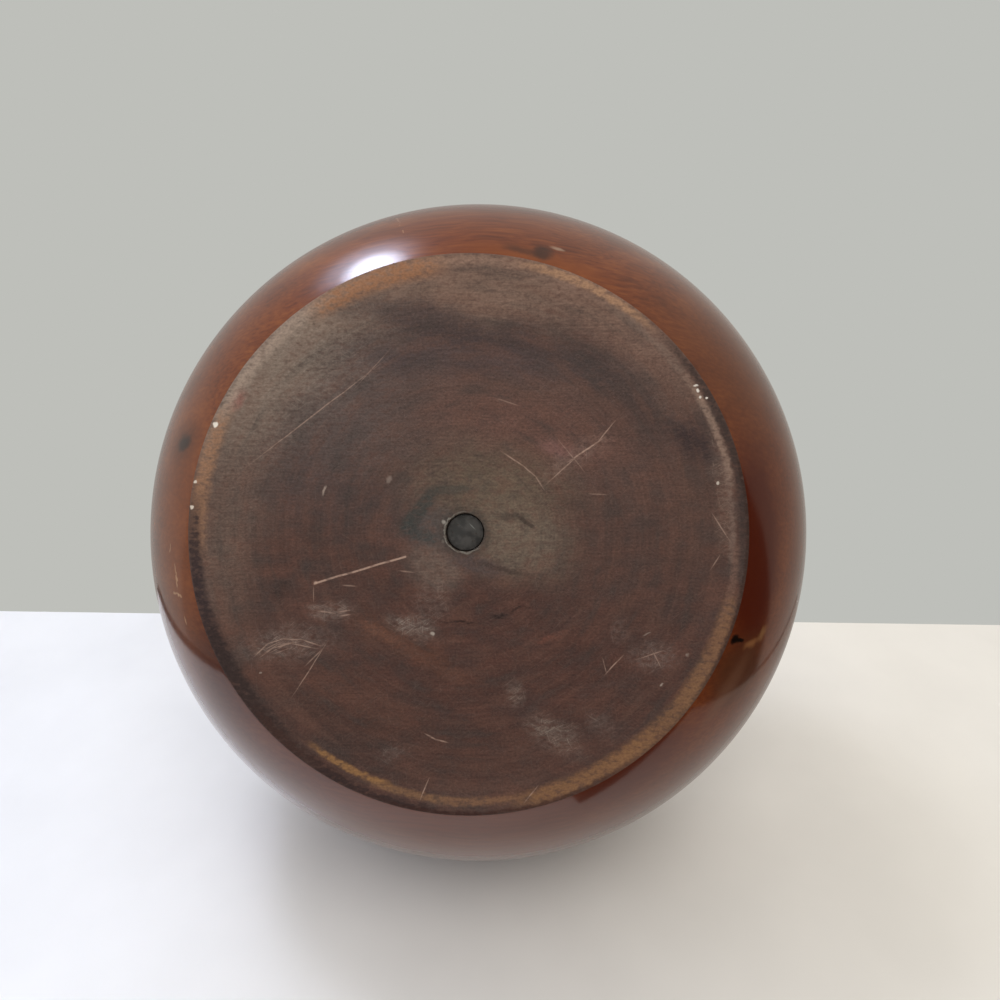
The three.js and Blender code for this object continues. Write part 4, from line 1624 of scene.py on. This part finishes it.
@dataclass
class Pick:
    """A nut pick: hooked point, round shank, knurled grip between two collars, and a knob."""

    collar_seat: float = 108.6
    shank_length: float = 42.0
    shank_radius: float = 1.9
    taper: float = 24.0
    point_radius: float = 0.6
    hook: float = 0.7
    grip_length: float = 46.0
    grip_radius: float = 2.8
    collar_radius: float = 3.6
    collar_height: float = 2.4
    knob_radius: float = 3.7
    knob_seat: float = 0.8
    knurl_starts: int = 12
    knurl_depth: float = 0.3
    knurl_steps: int = 150
    knurl_clear: float = 0.8
    knurl_margin: float = 1.2
    taper_steps: int = 16
    ease: float = 0.35

    def profile(self) -> Profile:
        """Give the profile from the point to the top of the knob.

        Returns:
            Points of radius and height, with the collar that sits on the post at height 0.
        """
        grip_top = self.collar_height + self.grip_length
        knob = grip_top + self.collar_height + self.knob_radius * self.knob_seat
        neck, rim = self.grip_radius - self.knurl_depth, self.collar_radius - self.ease
        swell = self.shank_radius - self.point_radius
        start, run = self.collar_height + self.knurl_clear, self.grip_length - 2 * self.knurl_clear
        tapered = (i / self.taper_steps for i in range(1, self.taper_steps + 1))
        knurled = (i / self.knurl_steps for i in range(self.knurl_steps + 1))
        return [
            (0.0, -self.shank_length), (self.point_radius * 0.7, -self.shank_length + 0.01),
            *((self.point_radius + swell * t, self.taper * t - self.shank_length) for t in tapered),
            (self.shank_radius, 0.0), (rim, 0.0), (self.collar_radius, self.ease),
            (self.collar_radius, self.collar_height - self.ease), (rim, self.collar_height),
            (neck, self.collar_height),
            *((self.grip_radius, start + run * t) for t in knurled),
            (neck, grip_top), (rim, grip_top), (self.collar_radius, grip_top + self.ease),
            (self.collar_radius, grip_top + self.collar_height / 2),
            *arc((0.0, knob), self.knob_radius, -50, 84, 16), (0.0, knob + self.knob_radius),
        ]

    def build(self, number: int, x: float, y: float, heading: float) -> None:
        """Make one pick and stand it in its hole.

        Args:
            number: the pick's number, from 1.
            x: where it stands along X, in millimetres.
            y: where it stands along Y, in millimetres.
            heading: the way that its point is bent, in radians.
        """
        mesh = turned(self.profile(), 72)
        low = self.collar_height + self.knurl_margin
        high = self.collar_height + self.grip_length - self.knurl_margin
        twist = self.knurl_starts / self.grip_radius
        for vert in mesh.verts:
            px, py, pz = vert.co / MM
            radius = math.hypot(px, py)
            if low < pz < high and radius > self.grip_radius - self.knurl_depth / 2:
                angle = self.knurl_starts * math.atan2(py, px)
                crossing = math.cos((angle + twist * pz) / 2) * math.cos((angle - twist * pz) / 2)
                vert.co.xy *= 1 - self.knurl_depth * (1 - abs(crossing)) / radius
            down = max(0.0, -pz - self.shank_length + self.taper) / self.taper
            vert.co.x += self.hook * down * down * MM
        moved(mesh, Matrix.Rotation(heading, 4, "Z"), shift(x, y, self.collar_seat))
        made = to_object(f"pick_{number}_drawn", mesh)
        fit(made, f"pick_{number}", f"nut_pick_{number}", "pick_plate", NickelPlate())


# Studio


@dataclass(frozen=True)
class Lamp:
    """A soft box lamp."""

    name: str
    place: Triple
    aim: Triple
    size: Point
    power: float
    colour: str = "#ffffff"
    mirrored: bool = True

    def light(self) -> None:
        """Hang the lamp and turn it to its aim."""
        data = bpy.data.lights.new(self.name, "AREA")
        data.shape, data.size, data.size_y = "RECTANGLE", *self.size
        data.energy, data.color = self.power, linear(self.colour)[:3]
        made = bpy.data.objects.new(self.name, data)
        made.location = self.place
        aim = Vector(self.aim) - Vector(self.place)
        made.rotation_euler = aim.to_track_quat("-Z", "Y").to_euler()
        made.visible_glossy = self.mirrored
        bpy.context.scene.collection.objects.link(made)


@dataclass
class Studio:
    """The table, the room's light and the camera.

    The bowl leans on its side, so the table stands steeply in the bowl's own frame.
    """

    table_up: Triple = (0.017, -0.881, -0.473)
    table_drop: float = 168.3
    contact: Point = (131.3, 111.2)
    table_beyond: float = 145.0
    table_corners: tuple[Point, ...] = (
        (-322.0, -260.0), (70.0, -260.0), (72.0, -116.0), (240.0, -148.0), (285.0, 145.0),
        (-300.0, 145.0))
    table_lip: Point = (-34.0, 10.0)
    surround: float = 900.0
    table_yaw: float = 1.0
    # The table top turns from cool by the window to warm at the far end: painted light.
    top_laminate: Laminate = Laminate("white_laminate", ("#e8eaee", "#ecebe9", "#efebe2"))
    # A darker copy of the top for mirrors only, darkest at the far end: painted shade.
    mirrored_shade_laminate: Laminate = Laminate("shaded_laminate", ("#d6d5d7", "#f2f0ee", "#9f978e"))
    base_from_camera: Triple = (-12.25, 11.35, 262.3)
    axis_from_camera: Triple = (0.0361, 0.0178, 1.0)
    lens: float = 27.04
    sensor: float = 36.0
    backdrop: str = "#bebfba"
    ceiling: Triple = (0.0, -0.67, 0.74)
    room_ends: tuple[str, str] = ("#83807c", "#0e0c0b")
    level_ends: tuple[str, str] = ("#eaedf4", "#dcd5c9")
    walls: tuple[tuple[float, str], ...] = (
        (0.2, "#a6a39e"), (0.45, "#a5a39f"), (0.7, "#b0aca5"), (0.95, "#8a847b"))
    glows: tuple[Blot, ...] = each(
        Blot,
        ((-0.405, -0.91, -0.05), (0.10, 0.3, 0.17), "#dce6ff", 17.0, -25.0, 0.45),
        ((-0.42, -0.90, 0.05), (0.14, 0.3, 0.20), "#dce6ff", 2.4, -25.0, 0.9))
    lamps: tuple[Lamp, ...] = (
        Lamp("window", (-0.50, -1.17, -0.16), (0.0, -0.09, 0.01), (0.30, 0.22), 3.2, "#eaf0ff", False),
        Lamp("curtain", (-0.50, -1.17, -0.15), (0.0, -0.09, 0.01), (0.60, 0.50), 1.8, "#f4f6ff", False),
        Lamp("front_fill", (0.25, -1.0, -1.3), (0.0, 0.1, 0.05), (1.0, 1.0), 6.0, "#fff8ee", False),
    )

    @property
    def up(self) -> Vector:
        """The way that is up for the table."""
        return Vector(self.table_up).normalized()

    @property
    def away(self) -> Vector:
        """The way along the table, away from the camera.

        Returns:
            A unit vector in the bowl's frame.
        """
        along = (Vector((0.0, 0.0, 1.0)) - self.up * self.up.z).normalized()
        along.rotate(Matrix.Rotation(math.radians(self.table_yaw), 3, self.up))
        return along

    def lay(self, name: str, corners: Iterable[Point], sink: float,
            finish: Finish) -> bpy.types.Object:
        """Lay a flat face on the table, or a little below it.

        Args:
            name: the face's name.
            corners: its corners, across and away from where the bowl touches the table.
            sink: how far it lies below the table, in millimetres.
            finish: its finish.

        Returns:
            The face, which belongs to the stage.
        """
        up, away = self.up, self.away
        across = away.cross(up)
        contact = Vector((-up.x, -up.y, 0.0)).normalized() * self.contact[0]
        contact += Vector((0.0, 0.0, self.contact[1]))
        contact -= up * (contact.dot(up) + self.table_drop)
        mesh = bmesh.new()
        face = mesh.faces.new([
            mesh.verts.new((contact + across * a + away * b - up * sink) * MM) for a, b in corners])
        face.normal_update()
        if face.normal.dot(up) < 0:
            face.normal_flip()
        laid = to_object(name, mesh)
        laid.data.materials.append(finish.material())
        log.info("%s: %s", name, finish.name)
        return laid

    def table(self) -> None:
        """Lay the table top, and a smaller, darker copy with a dark edge that only mirrors show: painted
        shade.
        """
        reach, lip, far = self.surround, self.table_lip, self.table_beyond
        whole = [(-reach, -reach), (reach, -reach), (reach, far), (-reach, far)]
        top = self.lay("table_top", whole, 0.3, self.top_laminate)
        top.visible_glossy = False
        card = self.lay("table_in_mirrors", self.table_corners, 0.0, self.mirrored_shade_laminate)
        lipped = [(a + (lip[0] if a < 0 else lip[1]), b) for a, b in self.table_corners]
        for seen in (card, self.lay("table_edge", lipped, 0.6, ShadedEdge())):
            seen.visible_camera = seen.visible_diffuse = seen.visible_shadow = False

    def world(self) -> None:
        """Light the room: an even level for surfaces, a pale wall and a dimmer room for mirrors."""
        world = bpy.data.worlds.new("room")
        bpy.context.scene.world = world
        world.use_nodes = True
        tree = world.node_tree
        tree.nodes.clear()
        way = add(tree, "TexCoord", out="Generated")
        right = add(tree, "SeparateXYZ", way, out="X")
        over = add(tree, "VectorMath", way, self.ceiling, out="Value", operation="DOT_PRODUCT")
        room = paint(tree, self.room_ends[0], band(tree, right, -0.6, 0.4), self.room_ends[1])
        share = add(tree, "MapRange", right, -1.0, 1.0, 0.0, 1.0)
        walls = add(tree, "ValToRGB", share, stops=self.walls)
        mirrored = paint(tree, room, band(tree, over, 0.0, 0.045), walls)
        glow = 0.0
        for light in self.glows:
            glow = add(tree, "Math", light.mask(tree, way), light.strength, glow,
                       operation="MULTIPLY_ADD")
        mirrored = paint(tree, mirrored, band(tree, glow, 0.0, 1.5), self.glows[0].colour)
        level = paint(tree, self.level_ends[0], band(tree, right, -0.9, 0.9), self.level_ends[1])
        rays = [add(tree, "LightPath", out=f"Is {kind} Ray") for kind in ("Camera", "Glossy")]
        colour = paint(tree, level, rays[1], mirrored)
        colour = paint(tree, colour, rays[0], self.backdrop)
        strength = add(tree, "Math", glow, rays[1], 1.0, operation="MULTIPLY_ADD")
        add(tree, "OutputWorld", add(tree, "Background", colour, strength))

    def camera(self) -> None:
        """Set the camera where the base's and the side's outlines meet the photograph's."""
        axis = Vector(self.axis_from_camera).normalized()
        across = (Vector((1.0, 0.0, 0.0)) - axis * axis.x).normalized()
        down = axis.cross(across)
        rows = Matrix((across, down, axis))
        right, below, ahead = rows.col
        turn = Matrix((right, -below, -ahead)).transposed()
        stand = -(rows @ Vector(self.base_from_camera)) * MM
        data = bpy.data.cameras.new("camera")
        data.lens, data.sensor_width, data.clip_start = self.lens, self.sensor, 10 * MM
        made = bpy.data.objects.new("camera", data)
        made.matrix_world = Matrix.Translation(stand) @ turn.to_4x4()
        bpy.context.scene.collection.objects.link(made)
        bpy.context.scene.camera = made

    def build(self) -> None:
        """Set the stage, the light and the camera."""
        bpy.context.scene.view_settings.view_transform = "Standard"
        self.table()
        self.world()
        for lamp in self.lamps:
            lamp.light()
        self.camera()


def main() -> None:
    """Build the bowl and all that stands in it, then the studio round it."""
    logging.basicConfig(level=logging.INFO, format="%(message)s")
    Studio().build()
    Bowl().build()
    Bolt().build()
    Insert().build()
    Post().build()
    Cracker().build()
    for number, (x, y, heading) in enumerate(pick_places(), 1):
        Pick().build(number, x, y, heading)


if __name__ == "__main__":
    main()
